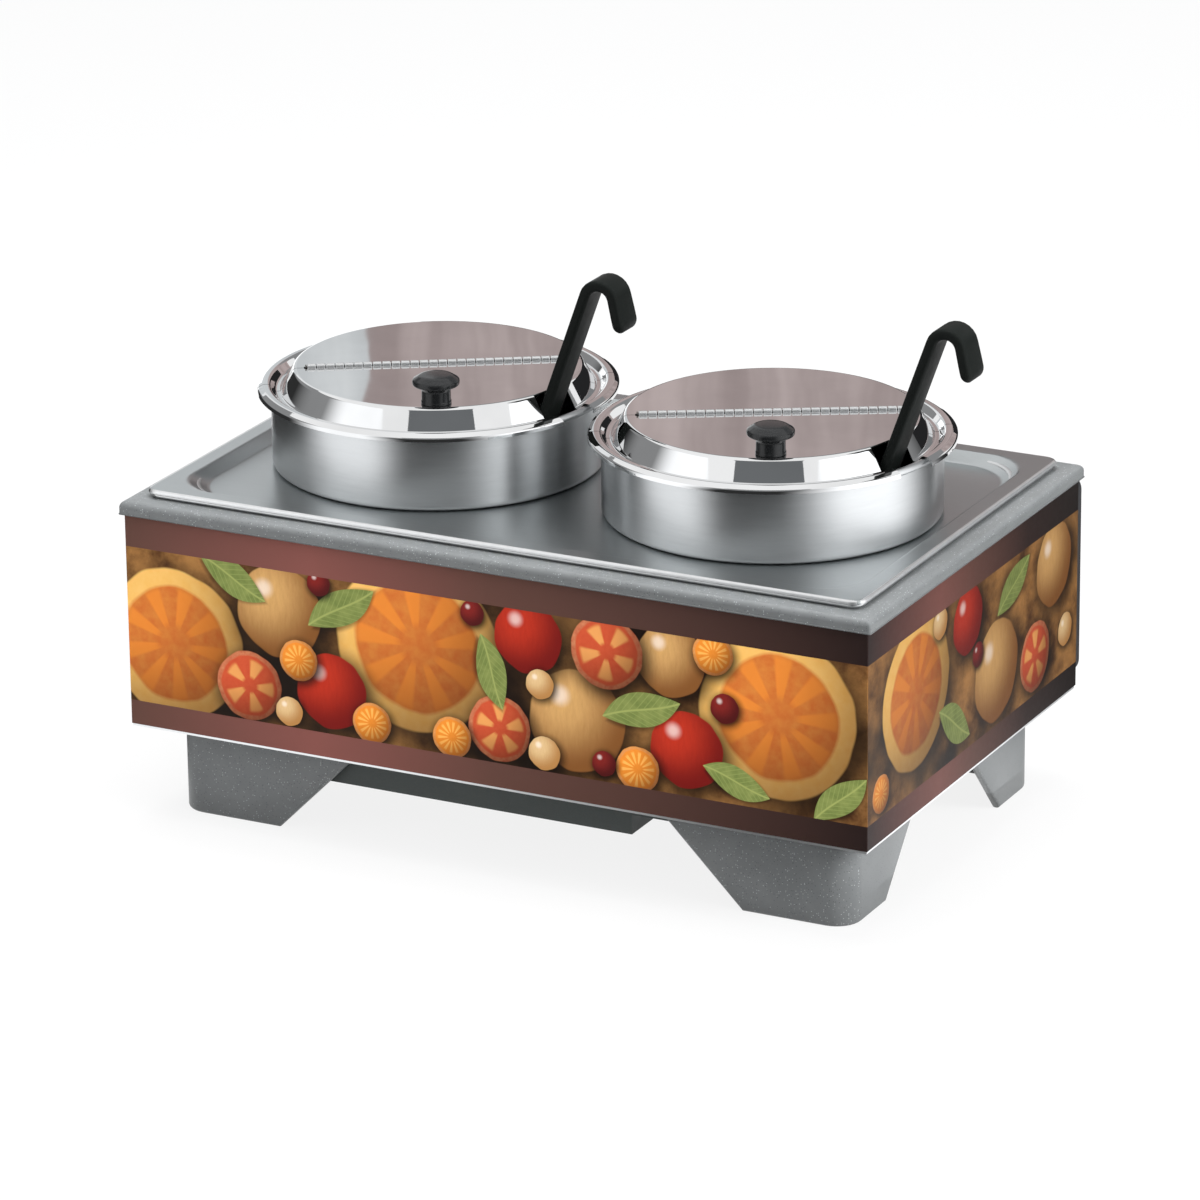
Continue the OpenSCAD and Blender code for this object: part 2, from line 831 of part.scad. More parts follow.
module skirt() {
  color([0.70, 0.71, 0.72])
    difference() {
      union() {
        difference() {
          block(
            -shell_w / 2, shell_w / 2, -shell_d / 2, y_return + skirt_t,
            leg_h, z_skirt_top - gap
          );
          block(
            -shell_w / 2 + skirt_t, shell_w / 2 - skirt_t, -shell_d / 2 + skirt_t, y_return,
            leg_h - over, z_skirt_top + over
          );
          // Rear side left open between its two narrow returns
          block(
            -shell_w / 2 + return_w, shell_w / 2 - return_w, 0, rim_d,
            leg_h - over, z_skirt_top + over
          );
          block(-rim_w, rim_w, y_return - over, rim_d, leg_h - over, z_panel);
        }
        // Hem turned inwards along the lower edge
        difference() {
          block(-shell_w / 2, shell_w / 2, -shell_d / 2, y_case_rear, leg_h, leg_h + skirt_t);
          block(
            -shell_w / 2 + hem_w, shell_w / 2 - hem_w, -shell_d / 2 + hem_w, rim_d,
            leg_h - over, leg_h + 2 * skirt_t
          );
        }
      }
      panel_screw_set(screw_r + screw_clear, y_return - over, y_panel);
    }
}

// A printed sheet between two corners of its outline
module graphic(x0, x1, y0, y1) {
  color([0.40, 0.24, 0.20])
    block(x0, x1, y0, y1, leg_h + bright_edge, z_skirt_top - gap);
}

module front_graphic() {
  graphic(-skirt_w / 2, skirt_w / 2, -skirt_d / 2, -skirt_d / 2 + graphic_t - film_gap);
}

module left_graphic() {
  graphic(
    -skirt_w / 2, -skirt_w / 2 + graphic_t - film_gap,
    -skirt_d / 2 + graphic_t, y_return + skirt_t
  );
}

module right_graphic() {
  graphic(
    skirt_w / 2 - graphic_t + film_gap, skirt_w / 2,
    -skirt_d / 2 + graphic_t, y_return + skirt_t
  );
}

module control_panel() {
  cup_r = dial_r + dial_gap;
  color([0.05, 0.05, 0.055])
    difference() {
      union() {
        difference() {
          translate([0, y_panel_face, z_panel + panel_h / 2])
            rotate([90, 0, 0])
              linear_extrude(height = y_panel_face - y_panel)
                rounded(panel_w, panel_h, panel_r);
          translate([0, y_panel_face - panel_wall, z_panel + panel_h / 2])
            rotate([90, 0, 0])
              linear_extrude(height = rim_d)
                rounded(panel_w - 2 * panel_wall, panel_h - 2 * panel_wall, panel_r - panel_wall);
        }
        // Sunk cup for the dial
        rod_y(cup_r + panel_wall, dial_x, z_dial, cup_floor_y - panel_wall, y_panel_face - over);
        // Pads under the fixing screws
        panel_screw_set(2 * screw_head_r, y_panel, y_panel_face - over);
      }
      rod_y(cup_r, dial_x, z_dial, cup_floor_y, y_panel_face + over);
      rod_y(stem_r + stem_hole_gap, dial_x, z_dial, cup_floor_y - 2 * panel_wall, y_panel_face);
      rod_y(lamp_body_r + gap, lamp_x, z_dial, y_panel, y_panel_face + over);
      block(
        rocker_x - rocker_w / 2 - switch_wall - gap, rocker_x + rocker_w / 2 + switch_wall + gap,
        y_panel, y_panel_face + over,
        z_dial - rocker_h / 2 - switch_wall - gap, z_dial + rocker_h / 2 + switch_wall + gap
      );
      rod_y(gland_r + gap, gland_x, z_gland, y_panel, y_panel_face + over);
      panel_screw_set(screw_r + screw_clear, y_panel - over, y_panel_face + over);
      panel_screw_set(screw_head_r + screw_clear, y_panel_face - screw_head_h, y_panel_face + over);
    }
}

module panel_screws() {
  color([0.62, 0.62, 0.60]) {
    panel_screw_set(screw_r, y_case_rear - casing_wall + over, y_panel_face - screw_head_h + over);
    panel_screw_set(screw_head_r, y_panel_face - screw_head_h + touch, y_panel_face - touch);
  }
}

module thermostat_body() {
  color([0.78, 0.77, 0.72])
    difference() {
      block(
        dial_x - therm_w / 2, dial_x + therm_w / 2, y_therm_face - therm_d, y_therm_face,
        z_dial - therm_h / 2, z_dial + therm_h / 2
      );
      rod_y(stem_r + run_fit, dial_x, z_dial, y_therm_face - stem_back, y_therm_face + over);
    }
}

module thermostat_stem() {
  y_tip = cup_floor_y + dial_foot + dial_h - dial_cap;
  color([0.66, 0.66, 0.66])
    rod_y(stem_r, dial_x, z_dial, y_therm_face - stem_back + stem_end_gap, y_tip);
}

module thermostat_dial() {
  y0 = cup_floor_y + dial_foot;
  color([0.04, 0.04, 0.045])
    difference() {
      union() {
        rod_y(dial_r, dial_x, z_dial, y0, y0 + dial_skirt_h);
        rod_y(dial_r - dial_step, dial_x, z_dial, y0, y0 + dial_skirt_h + dial_step_h);
        block(
          dial_x - dial_grip_half, dial_x + dial_grip_half, y0, y0 + dial_h,
          z_dial - dial_r + dial_grip_low, z_dial + dial_r - dial_grip_high
        );
      }
      rod_y(stem_r + pilot_gap, dial_x, z_dial, cup_floor_y, y0 + dial_h - dial_cap + pilot_gap);
    }
}

module switch_body() {
  half_w = rocker_w / 2 + switch_wall;
  half_h = rocker_h / 2 + switch_wall;
  pin_half = rocker_w / 2 + rocker_pin_out + rocker_pin_gap;
  color([0.06, 0.06, 0.065])
    difference() {
      union() {
        block(
          rocker_x - half_w, rocker_x + half_w, y_panel_face - switch_back, y_panel_face + bezel_t,
          z_dial - half_h, z_dial + half_h
        );
        block(
          rocker_x - half_w - bezel, rocker_x + half_w + bezel,
          y_panel_face + touch, y_panel_face + bezel_t,
          z_dial - half_h - bezel, z_dial + half_h + bezel
        );
      }
      block(
        rocker_x - rocker_w / 2, rocker_x + rocker_w / 2,
        y_panel_face - rocker_depth - switch_floor, y_panel_face + bezel_t + over,
        z_dial - rocker_h / 2, z_dial + rocker_h / 2
      );
      rod(
        [rocker_x - pin_half, y_panel_face - pivot_in, z_dial],
        [rocker_x + pin_half, y_panel_face - pivot_in, z_dial],
        rocker_pin_r + run_fit
      );
    }
}

module switch_rocker() {
  tip = rocker_h / 2 - rocker_end_gap;
  pin_half = rocker_w / 2 + rocker_pin_out;
  color([0.55, 0.07, 0.05])
    translate([rocker_x, y_panel_face - pivot_in, z_dial])
      rotate([rocker_tilt, 0, 0])
        union() {
          translate([-rocker_w / 2 + rocker_side_gap, 0, 0])
            rotate([90, 0, 90])
              linear_extrude(height = rocker_w - 2 * rocker_side_gap)
                polygon([
                  [rocker_rise + pivot_in, tip],
                  [rocker_rise, 0],
                  [rocker_rise + pivot_in, -tip],
                  [0, -tip],
                  [-rocker_depth + pivot_in, -tip * rocker_back_share],
                  [-rocker_depth + pivot_in, tip * rocker_back_share],
                  [0, tip]
                ]);
          rod([-pin_half, 0, 0], [pin_half, 0, 0], rocker_pin_r);
        }
}

module lamp_body() {
  color([0.85, 0.35, 0.06])
    union() {
      rod_y(lamp_body_r, lamp_x, z_dial, y_panel_face - lamp_back, y_panel_face + over);
      rod_y(lamp_r + lamp_rim, lamp_x, z_dial, y_panel_face + touch, y_panel_face + lamp_rim_t);
      translate([lamp_x, y_panel_face + over, z_dial])
        rotate([-90, 0, 0])
          rotate_extrude()
            intersection() {
              translate([0, -lamp_dome])
                circle(r = lamp_r);
              square([lamp_r, lamp_r]);
            }
    }
}

module lamp_nut() {
  color([0.20, 0.20, 0.21])
    translate([lamp_x, y_panel_face - panel_wall - touch, z_dial])
      rotate([90, 0, 0])
        difference() {
          cylinder(r = lamp_nut_r, h = lamp_nut_t, $fn = hex_sides);
          translate([0, 0, -over])
            cylinder(r = lamp_body_r + pilot_gap, h = lamp_nut_t + 2 * over);
        }
}

module cord_gland() {
  color([0.05, 0.05, 0.055])
    difference() {
      union() {
        rod_y(gland_r, gland_x, z_gland, y_panel_face - gland_inner, y_panel_face + over);
        rod_y(gland_flange_r, gland_x, z_gland, y_panel_face + touch, y_panel_face + gland_flange_t);
        rod_y(gland_r, gland_x, z_gland, y_panel_face + over, y_panel_face + gland_outer);
      }
      rod_y(
        gland_bore_r, gland_x, z_gland,
        y_panel_face - gland_inner - over, y_panel_face + gland_outer + over
      );
    }
}

module gland_nut() {
  color([0.08, 0.08, 0.085])
    translate([gland_x, y_panel_face - panel_wall - touch, z_gland])
      rotate([90, 0, 0])
        difference() {
          cylinder(r = gland_nut_r, h = gland_nut_t, $fn = hex_sides);
          translate([0, 0, -over])
            cylinder(r = gland_r + pilot_gap, h = gland_nut_t + 2 * over);
        }
}

module adapter_plate() {
  color([0.74, 0.75, 0.76])
    difference() {
      union() {
        slab(plate_w, plate_d, plate_r, z_plate_top - plate_lip, z_plate_top);
        slab(
          recess_w + 2 * plate_t, recess_d + 2 * plate_t, recess_r + plate_t,
          z_floor - plate_t, z_plate_top
        );
      }
      difference() {
        slab(
          plate_w - 2 * plate_t, plate_d - 2 * plate_t, plate_r - plate_t,
          z_plate_top - plate_lip - over, z_plate_top - plate_t
        );
        slab(
          recess_w + 2 * plate_t, recess_d + 2 * plate_t, recess_r + plate_t,
          z_floor - plate_t, z_plate_top
        );
      }
      slab(recess_w, recess_d, recess_r, z_floor, z_plate_top + over);
      for (sx = [-1, 1])
        rod_z(hole_r, sx * pot_pitch / 2, 0, z_floor - 2 * plate_t, z_floor + over);
    }
}

// Half section of an inset, standing on its own middle line
module pot_section() {
  r1 = collar_r;
  r0 = body_r;
  difference() {
    union() {
      translate([0, z_pot_bottom])
        square([r0 - body_round, body_round]);
      translate([0, z_pot_bottom + body_round])
        square([r0, z_collar + collar_round - z_pot_bottom - body_round]);
      translate([r0 - body_round, z_pot_bottom + body_round])
        circle(r = body_round);
      translate([0, z_collar])
        square([r1 - collar_round, collar_round]);
      translate([0, z_collar + collar_round])
        square([r1, z_bead - z_collar - collar_round]);
      translate([r1 - collar_round, z_collar + collar_round])
        circle(r = collar_round);
      translate([bead_x, z_bead])
        circle(r = bead_r);
    }
    translate([0, z_pot_bottom + pot_t])
      square([r0 - body_round, body_round]);
    translate([0, z_pot_bottom + body_round])
      square([r0 - pot_t, z_collar + collar_round - z_pot_bottom - body_round]);
    translate([r0 - body_round, z_pot_bottom + body_round])
      circle(r = body_round - pot_t);
    translate([0, z_collar + pot_t])
      square([r1 - collar_round, collar_round]);
    translate([0, z_collar + collar_round])
      square([r1 - pot_t, collar_h + bead_r]);
    translate([r1 - collar_round, z_collar + collar_round])
      circle(r = collar_round - pot_t);
    translate([-2 * collar_r, 0])
      square([2 * collar_r, 2 * z_bead]);
  }
}

module inset(sx) {
  translate([sx * pot_pitch / 2, 0, 0])
    rotate_extrude()
      pot_section();
}

module inset_left() {
  color([0.76, 0.77, 0.78])
    inset(-1);
}

module inset_right() {
  color([0.76, 0.77, 0.78])
    inset(1);
}

module at_cover(sx) {
  translate([sx * pot_pitch / 2, 0, 0])
    rotate([0, 0, sx < 0 ? left_turn : right_turn])
      children();
}

// Every second knuckle of a hinge, from the given start
module knuckles(start, side) {
  for (i = [start : 2 : knuckle_count - 1])
    translate([-hinge_len / 2 + i * knuckle_pitch + knuckle_gap / 2, 0, z_hinge])
      difference() {
        union() {
          rotate([0, 90, 0])
            cylinder(r = knuckle_r, h = knuckle_pitch - knuckle_gap, $fn = knuckle_sides);
          translate([0, side > 0 ? tab_in : -tab_out, z_flat - cover_t - z_hinge])
            cube([knuckle_pitch - knuckle_gap, tab_out - tab_in, cover_t]);
        }
        translate([-over, 0, 0])
          rotate([0, 90, 0])
            cylinder(r = pin_r + run_fit, h = knuckle_pitch + 2 * over, $fn = knuckle_sides);
      }
}

// One half of a cover, with room for the hinge along its straight edge
module cover_half(turn) {
  difference() {
    rotate([0, 0, turn])
      rotate_extrude(angle = 180)
        polygon(concat(cover_outer, cover_inner));
    block(-2 * cover_r, 2 * cover_r, -seam / 2, seam / 2, z_pot_bottom, 2 * z_flat);
    block(
      -hinge_len / 2 - hinge_slot_end, hinge_len / 2 + hinge_slot_end, -hinge_slot / 2, hinge_slot / 2,
      z_flat - 2 * cover_t, z_flat + over
    );
  }
}

module cover_rear(sx) {
  at_cover(sx)
    union() {
      cover_half(0);
      knuckles(0, 1);
    }
}

module cover_flap(sx) {
  at_cover(sx)
    union() {
      difference() {
        cover_half(180);
        rotate([0, 0, -notch_angle])
          block(notch_in, 2 * cover_r, -notch_w / 2, notch_w / 2, z_groove - cover_r, z_flat + over);
        rod_z(screw_r + screw_clear, -knob_side, -knob_y, z_groove, z_flat + over);
      }
      knuckles(1, -1);
    }
}

module hinge_pin(sx) {
  head = hinge_len / 2 + gap;
  at_cover(sx)
    union() {
      rod([-hinge_len / 2 - over, 0, z_hinge], [hinge_len / 2 + over, 0, z_hinge], pin_r);
      for (side = [-1, 1])
        rod([side * head, 0, z_hinge], [side * (head + pin_head_t), 0, z_hinge], pin_head_r);
    }
}

module cover_knob(sx) {
  neck_z = knob_h * knob_neck_share;
  color([0.03, 0.03, 0.035])
    at_cover(sx)
      translate([-knob_side, -knob_y, z_flat + touch])
        rotate_extrude()
          difference() {
            polygon(concat(
              [[0, 0], [knob_base_r, 0], [knob_base_r, knob_base_h], [knob_neck_r, knob_neck_low]],
              around([knob_neck_r, neck_z], knob_under, knob_under_shares),
              around([knob_r, neck_z], knob_round, knob_edge_shares),
              around([knob_r, knob_h], knob_round, knob_top_shares),
              [[knob_r * knob_flat_share, knob_h], [0, knob_h]]
            ));
            translate([0, -over])
              square([screw_r + pilot_gap, knob_bore_depth + over]);
          }
}

module knob_screw(sx) {
  z_head = z_flat - cover_t - touch;
  color([0.66, 0.66, 0.64])
    at_cover(sx)
      union() {
        rod_z(screw_r, -knob_side, -knob_y, z_head - over, z_flat + knob_bore_depth - knob_screw_short);
        rod_z(screw_head_r, -knob_side, -knob_y, z_head - screw_head_h, z_head);
      }
}

module cover_rear_left() {
  color([0.84, 0.85, 0.86])
    cover_rear(-1);
}

module cover_rear_right() {
  color([0.84, 0.85, 0.86])
    cover_rear(1);
}

module cover_flap_left() {
  color([0.84, 0.85, 0.86])
    cover_flap(-1);
}

module cover_flap_right() {
  color([0.84, 0.85, 0.86])
    cover_flap(1);
}

module hinge_pin_left() {
  color([0.70, 0.70, 0.70])
    hinge_pin(-1);
}

module hinge_pin_right() {
  color([0.70, 0.70, 0.70])
    hinge_pin(1);
}

module cover_knob_left() {
  cover_knob(-1);
}

module cover_knob_right() {
  cover_knob(1);
}

module knob_screw_left() {
  knob_screw(-1);
}

module knob_screw_right() {
  knob_screw(1);
}

module at_ladle(sx) {
  translate([sx * pot_pitch / 2 + ladle_x, ladle_y, z_ladle])
    rotate([0, ladle_lean, 0])
      children();
}

// Steel strip with its bowl
module ladle(sx) {
  color([0.78, 0.79, 0.80])
    at_ladle(sx)
      difference() {
        union() {
          block(
            -strip_t / 2, strip_t / 2, -strip_w / 2, strip_w / 2,
            -bowl_drop - strip_w / 2, strip_top
          );
          translate([-bowl_x, 0, -bowl_drop])
            difference() {
              sphere(r = bowl_r);
              block(-2 * bowl_r, 2 * bowl_r, -2 * bowl_r, 2 * bowl_r, 0, 2 * bowl_r);
            }
        }
        translate([-bowl_x, 0, -bowl_drop])
          sphere(r = bowl_r - bowl_t);
      }
}

// A point of the bent hook: distance out from the bend's middle and along the hook
function hook_point(out, along) = [
  bend_r + out * cos(hook_turn) - along * sin(hook_turn),
  grip_up + out * sin(hook_turn) + along * cos(hook_turn)
];

// Points on an arc round the bend's middle
function bend_arc(r, from, to) = [
  for (k = [0 : bend_steps])
    let (a = from + (to - from) * k / bend_steps)
      [bend_r + r * cos(a), grip_up + r * sin(a)]
];

// Side outline of the black sleeve: straight, bent over and down to a round tip
grip_outline = concat(
  [[-grip_t / 2, grip_low]],
  bend_arc(bend_r + grip_t / 2, 180, hook_turn),
  [
    for (k = [0 : bend_steps])
      let (a = -180 * k / bend_steps)
        hook_point(bend_r + grip_t / 2 * cos(a), -hook_len + grip_t / 2 * sin(a))
  ],
  bend_arc(bend_r - grip_t / 2, hook_turn, 180),
  [[grip_t / 2, grip_low]]
);

module ladle_grip(sx) {
  color([0.05, 0.05, 0.055])
    at_ladle(sx)
      difference() {
        translate([0, grip_w / 2, 0])
          rotate([90, 0, 0])
            linear_extrude(height = grip_w)
              polygon(grip_outline);
        block(
          -strip_t / 2 - run_fit, strip_t / 2 + run_fit, -strip_w / 2 - run_fit,
          strip_w / 2 + run_fit, grip_low - over, strip_top + run_fit
        );
      }
}

module ladle_left() {
  ladle(-1);
}

module ladle_right() {
  ladle(1);
}

module ladle_grip_left() {
  ladle_grip(-1);
}

module ladle_grip_right() {
  ladle_grip(1);
}

rim();
casing_front();
casing_rear();
casing_left();
casing_right();
leg_frame();
well_liner();
insulation();
heater_tube();
heater_straps();
heater_nuts();
bottom_tray();
tray_screws();
terminal_block();
lead_wires();
sensor_bulb();
skirt();
front_graphic();
left_graphic();
right_graphic();
control_panel();
panel_screws();
thermostat_body();
switch_body();
lamp_body();
lamp_nut();
cord_gland();
gland_nut();
thermostat_dial();
thermostat_stem();
switch_rocker();
adapter_plate();
inset_left();
inset_right();
cover_rear_left();
cover_flap_left();
hinge_pin_left();
cover_knob_left();
knob_screw_left();
cover_rear_right();
cover_flap_right();
hinge_pin_right();
cover_knob_right();
knob_screw_right();
ladle_left();
ladle_grip_left();
ladle_right();
ladle_grip_right();
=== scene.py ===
"""Soup station: smooth sheet metal, resin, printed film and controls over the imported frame.

Mesh code works in millimetres, in the frame's own axes, and is scaled to metres as each
piece is finished.
"""
import json
import math

import bmesh
import bpy
from mathutils import Matrix, Vector


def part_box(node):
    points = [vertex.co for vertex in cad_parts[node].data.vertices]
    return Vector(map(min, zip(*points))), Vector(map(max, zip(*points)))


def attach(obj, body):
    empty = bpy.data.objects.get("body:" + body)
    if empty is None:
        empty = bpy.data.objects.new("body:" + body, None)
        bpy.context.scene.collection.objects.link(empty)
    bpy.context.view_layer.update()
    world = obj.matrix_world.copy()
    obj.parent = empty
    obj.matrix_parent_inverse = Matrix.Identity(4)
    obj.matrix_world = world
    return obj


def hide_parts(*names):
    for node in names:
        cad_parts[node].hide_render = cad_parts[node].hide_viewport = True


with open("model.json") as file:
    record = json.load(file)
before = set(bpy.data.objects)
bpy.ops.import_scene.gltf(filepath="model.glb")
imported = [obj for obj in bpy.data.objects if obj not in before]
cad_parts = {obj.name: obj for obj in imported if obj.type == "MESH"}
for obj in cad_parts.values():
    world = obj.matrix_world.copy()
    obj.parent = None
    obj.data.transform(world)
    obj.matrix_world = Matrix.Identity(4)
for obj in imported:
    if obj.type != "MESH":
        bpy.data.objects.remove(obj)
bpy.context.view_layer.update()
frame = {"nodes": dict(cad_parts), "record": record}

MM = 0.001
# Points closer than this are welded, in millimetres; edges over this angle stay sharp, in degrees
WELD = 0.002
SHARP_FROM = 38
SIDES = ("left", "right")


def node_box(node):
    """Lowest and highest corner of a node, in millimetres."""
    low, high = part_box(node)
    return low / MM, high / MM


# Sizes read from the frame
RIM_LOW, RIM_HIGH = node_box("rim")
PLATE_LOW, PLATE_HIGH = node_box("adapter_plate")
WELL_LOW, WELL_HIGH = node_box("well_liner")
LEG_LOW, LEG_HIGH = node_box("leg_frame")
PANEL_HIGH = node_box("control_panel")[1]
CASING_NODES = [name for name in frame["nodes"] if name.startswith("casing")]
CASING_LOW = node_box("casing_front")[0]
CASING_HIGH = node_box("casing_rear")[1]
INSET_BOX = {side: node_box("inset_" + side) for side in SIDES}
JOINTS = {joint["name"]: joint for joint in frame["record"]["behaviour"]["joints"]}


# Section and outline helpers

def even_shares(steps):
    """Even shares of 1, from the first step to the last."""
    return [k / steps for k in range(1, steps + 1)]


def polar(radius, degrees):
    """Point at a distance and an angle from the origin."""
    angle = math.radians(degrees)
    return Vector((radius * math.cos(angle), radius * math.sin(angle)))


def filleted(corners, steps=5, closed=False, support=0.25):
    """Points of an outline whose corners (x, y, radius) are rounded by arcs.

    A spare point beside each arc keeps the flats next to it flat when shaded.
    """
    points = []
    count = len(corners)
    for i, (x, y, radius) in enumerate(corners):
        here = Vector((x, y))
        at_end = not closed and i in (0, count - 1)
        if radius == 0 or at_end:
            points.append(here)
            continue
        to_last = Vector(corners[i - 1][:2]) - here
        to_next = Vector(corners[(i + 1) % count][:2]) - here
        before = to_last.normalized()
        after = to_next.normalized()
        half = before.angle(after) / 2
        reach = radius / math.tan(half)
        centre = here + (before + after).normalized() * (radius / math.sin(half))
        start = here + before * reach - centre
        end = here + after * reach - centre
        sweep = start.angle(end)
        if reach + support < to_last.length:
            points.append(here + before * (reach + support))
        for k in range(steps + 1):
            share = k / steps
            arm = start * math.sin((1 - share) * sweep) + end * math.sin(share * sweep)
            points.append(centre + arm / math.sin(sweep))
        if reach + support < to_next.length:
            points.append(here + after * (reach + support))
    return points


def thickened(points, wall):
    """Closed section of a sheet that follows the points and lies to their right."""
    inner = []
    last = len(points) - 1
    for i, point in enumerate(points):
        along = (points[min(i + 1, last)] - points[max(i - 1, 0)]).normalized()
        inner.append(point + Vector((along.y, -along.x)) * wall)
    return points + inner[::-1]


def rounded_loop(half_w, half_d, radius, steps=10):
    """Corner points of a rounded rectangle, anticlockwise from the +X side."""
    loop = []
    for sx, sy, first in ((1, 1, 0), (-1, 1, 90), (-1, -1, 180), (1, -1, 270)):
        for k in range(steps + 1):
            angle = math.radians(first + 90 * k / steps)
            loop.append(Vector((
                sx * (half_w - radius) + radius * math.cos(angle),
                sy * (half_d - radius) + radius * math.sin(angle),
            )))
    return loop


# Mesh helpers

def bridge(bm, rows, closed_rows=False, closed_loops=True, uv=None, pitch=1.0):
    """Quads between neighbouring rows of vertices; UVs run along the rows."""
    faces = []
    row_count = len(rows)
    for i in range(row_count if closed_rows else row_count - 1):
        here, there = rows[i], rows[(i + 1) % row_count]
        count = len(here)
        for k in range(count if closed_loops else count - 1):
            n = (k + 1) % count
            face = bm.faces.new((here[k], here[n], there[n], there[k]))
            faces.append(face)
            if uv:
                corners = ((k, i), (k + 1, i), (k + 1, i + 1), (k, i + 1))
                for loop, (a, b) in zip(face.loops, corners):
                    loop[uv].uv = (a * pitch * MM, b * pitch * MM)
    return faces


def end_caps(bm, rows):
    """Faces over both ends of open rows."""
    bm.faces.new([row[0] for row in rows])
    bm.faces.new([row[-1] for row in rows][::-1])


def lathe(section, segments=128, first=0.0, last=360.0):
    """Turns a closed section of (radius, height) points about the Z axis."""
    bm = bmesh.new()
    uv = bm.loops.layers.uv.new("Run")
    full = last - first == 360
    columns = segments if full else segments + 1
    angles = [math.radians(first + (last - first) * k / segments) for k in range(columns)]
    widest = max(point[0] for point in section)
    rows = []
    for radius, height in section:
        rows.append([bm.verts.new((radius * math.cos(a), radius * math.sin(a), height)) for a in angles])
    bridge(bm, rows, True, full, uv, widest * math.radians(last - first) / segments)
    if not full:
        end_caps(bm, rows)
    return bm


def loft(levels, closed=True, steps=10):
    """Skin over rounded rectangles given as (half width, half depth, radius, height)."""
    bm = bmesh.new()
    rows = []
    for half_w, half_d, radius, height in levels:
        loop = rounded_loop(half_w, half_d, radius, steps)
        rows.append([bm.verts.new((point.x, point.y, height)) for point in loop])
    bridge(bm, rows, closed)
    return bm, rows


def box_mesh(low, high):
    """A plain block used only as a cutter."""
    bm = bmesh.new()
    bmesh.ops.create_cube(bm, size=1)
    size = Vector(high) - Vector(low)
    middle = (Vector(high) + Vector(low)) / 2
    bmesh.ops.transform(bm, matrix=Matrix.Translation(middle) @ Matrix.Diagonal((*size, 1)), verts=bm.verts)
    return bm


def joined(*meshes):
    """One bmesh from several."""
    whole = meshes[0]
    for other in meshes[1:]:
        scratch = bpy.data.meshes.new("scratch")
        other.to_mesh(scratch)
        other.free()
        whole.from_mesh(scratch)
        bpy.data.meshes.remove(scratch)
    return whole


def moved(bm, matrix):
    """A mesh after a transform."""
    bmesh.ops.transform(bm, matrix=matrix, verts=bm.verts)
    return bm


def scene_object(name, data):
    """A new object in the scene."""
    obj = bpy.data.objects.new(name, data)
    bpy.context.scene.collection.objects.link(obj)
    return obj


def scaled_mesh(bm, scale):
    """A mesh at another scale."""
    bmesh.ops.scale(bm, vec=(scale, scale, scale), verts=bm.verts)
    return bm


def copied_mesh(data):
    """A mesh in millimetres from an object's data in metres."""
    bm = bmesh.new()
    bm.from_mesh(data)
    return scaled_mesh(bm, 1 / MM)


def new_object(name, bm, sharp=SHARP_FROM):
    """Object at the origin from a mesh in millimetres, smooth except at sharp edges."""
    bmesh.ops.remove_doubles(bm, verts=bm.verts, dist=WELD)
    bmesh.ops.recalc_face_normals(bm, faces=bm.faces)
    scaled_mesh(bm, MM)
    mesh = bpy.data.meshes.new(name)
    bm.to_mesh(mesh)
    bm.free()
    mesh.shade_smooth()
    mesh.set_sharp_from_angle(angle=math.radians(sharp))
    return scene_object(name, mesh)


def settled(obj):
    """Turns an object's modifiers into plain mesh."""
    bpy.context.view_layer.update()
    evaluated = obj.evaluated_get(bpy.context.evaluated_depsgraph_get())
    mesh = bpy.data.meshes.new_from_object(evaluated)
    obj.modifiers.clear()
    old = obj.data
    obj.data = mesh
    bpy.data.meshes.remove(old)
    return obj


def rounded_edges(obj, width, segments=3, angle=40):
    """Rounds an object's sharp edges."""
    bevel = obj.modifiers.new("Rounded edges", "BEVEL")
    bevel.width = width * MM
    bevel.segments = segments
    bevel.limit_method = "ANGLE"
    bevel.angle_limit = math.radians(angle)
    bevel.harden_normals = True
    return settled(obj)


def walled(obj, wall):
    """Gives a sheet whose last face is its floor a thickness, below and outside it."""
    if obj.data.polygons[-1].normal.z < 0:
        obj.data.flip_normals()
    sheet = obj.modifiers.new("Sheet", "SOLIDIFY")
    sheet.thickness = wall * MM
    sheet.offset = -1
    return settled(obj)


def cut(obj, *cutters):
    """Takes cutter meshes out of an object."""
    tools = []
    for bm in cutters:
        tool = new_object("cutter", bm)
        tools.append(tool)
        step = obj.modifiers.new("Cut", "BOOLEAN")
        step.operation = "DIFFERENCE"
        step.solver = "EXACT"
        step.object = tool
    settled(obj)
    for tool in tools:
        bpy.data.objects.remove(tool, do_unlink=True)
    obj.data.shade_smooth()
    obj.data.set_sharp_from_angle(angle=math.radians(SHARP_FROM))
    return obj


def place(obj, material, body, slot, *nodes):
    """Gives a finished piece its material or materials and its body, and hides the nodes it stands for; the
    slot is not used.
    """
    if not obj.data.materials:
        for one in material if isinstance(material, list) else [material]:
            obj.data.materials.append(one)
    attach(obj, body)
    if nodes:
        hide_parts(*nodes)
    return obj


def softened(node, width, segments=2):
    """Copy of a node's solid, merged into whole faces and with rounded edges."""
    bm = copied_mesh(frame["nodes"][node].data)
    bmesh.ops.remove_doubles(bm, verts=bm.verts, dist=WELD)
    bmesh.ops.dissolve_limit(bm, angle_limit=math.radians(1), verts=bm.verts, edges=bm.edges)
    obj = new_object(node + "_finished", bm)
    return rounded_edges(obj, width, segments)


# Node trees

# Places of the colour sockets on a Mix node
MIX_FACTOR, MIX_FIRST, MIX_SECOND, MIX_RESULT = 0, 6, 7, 2


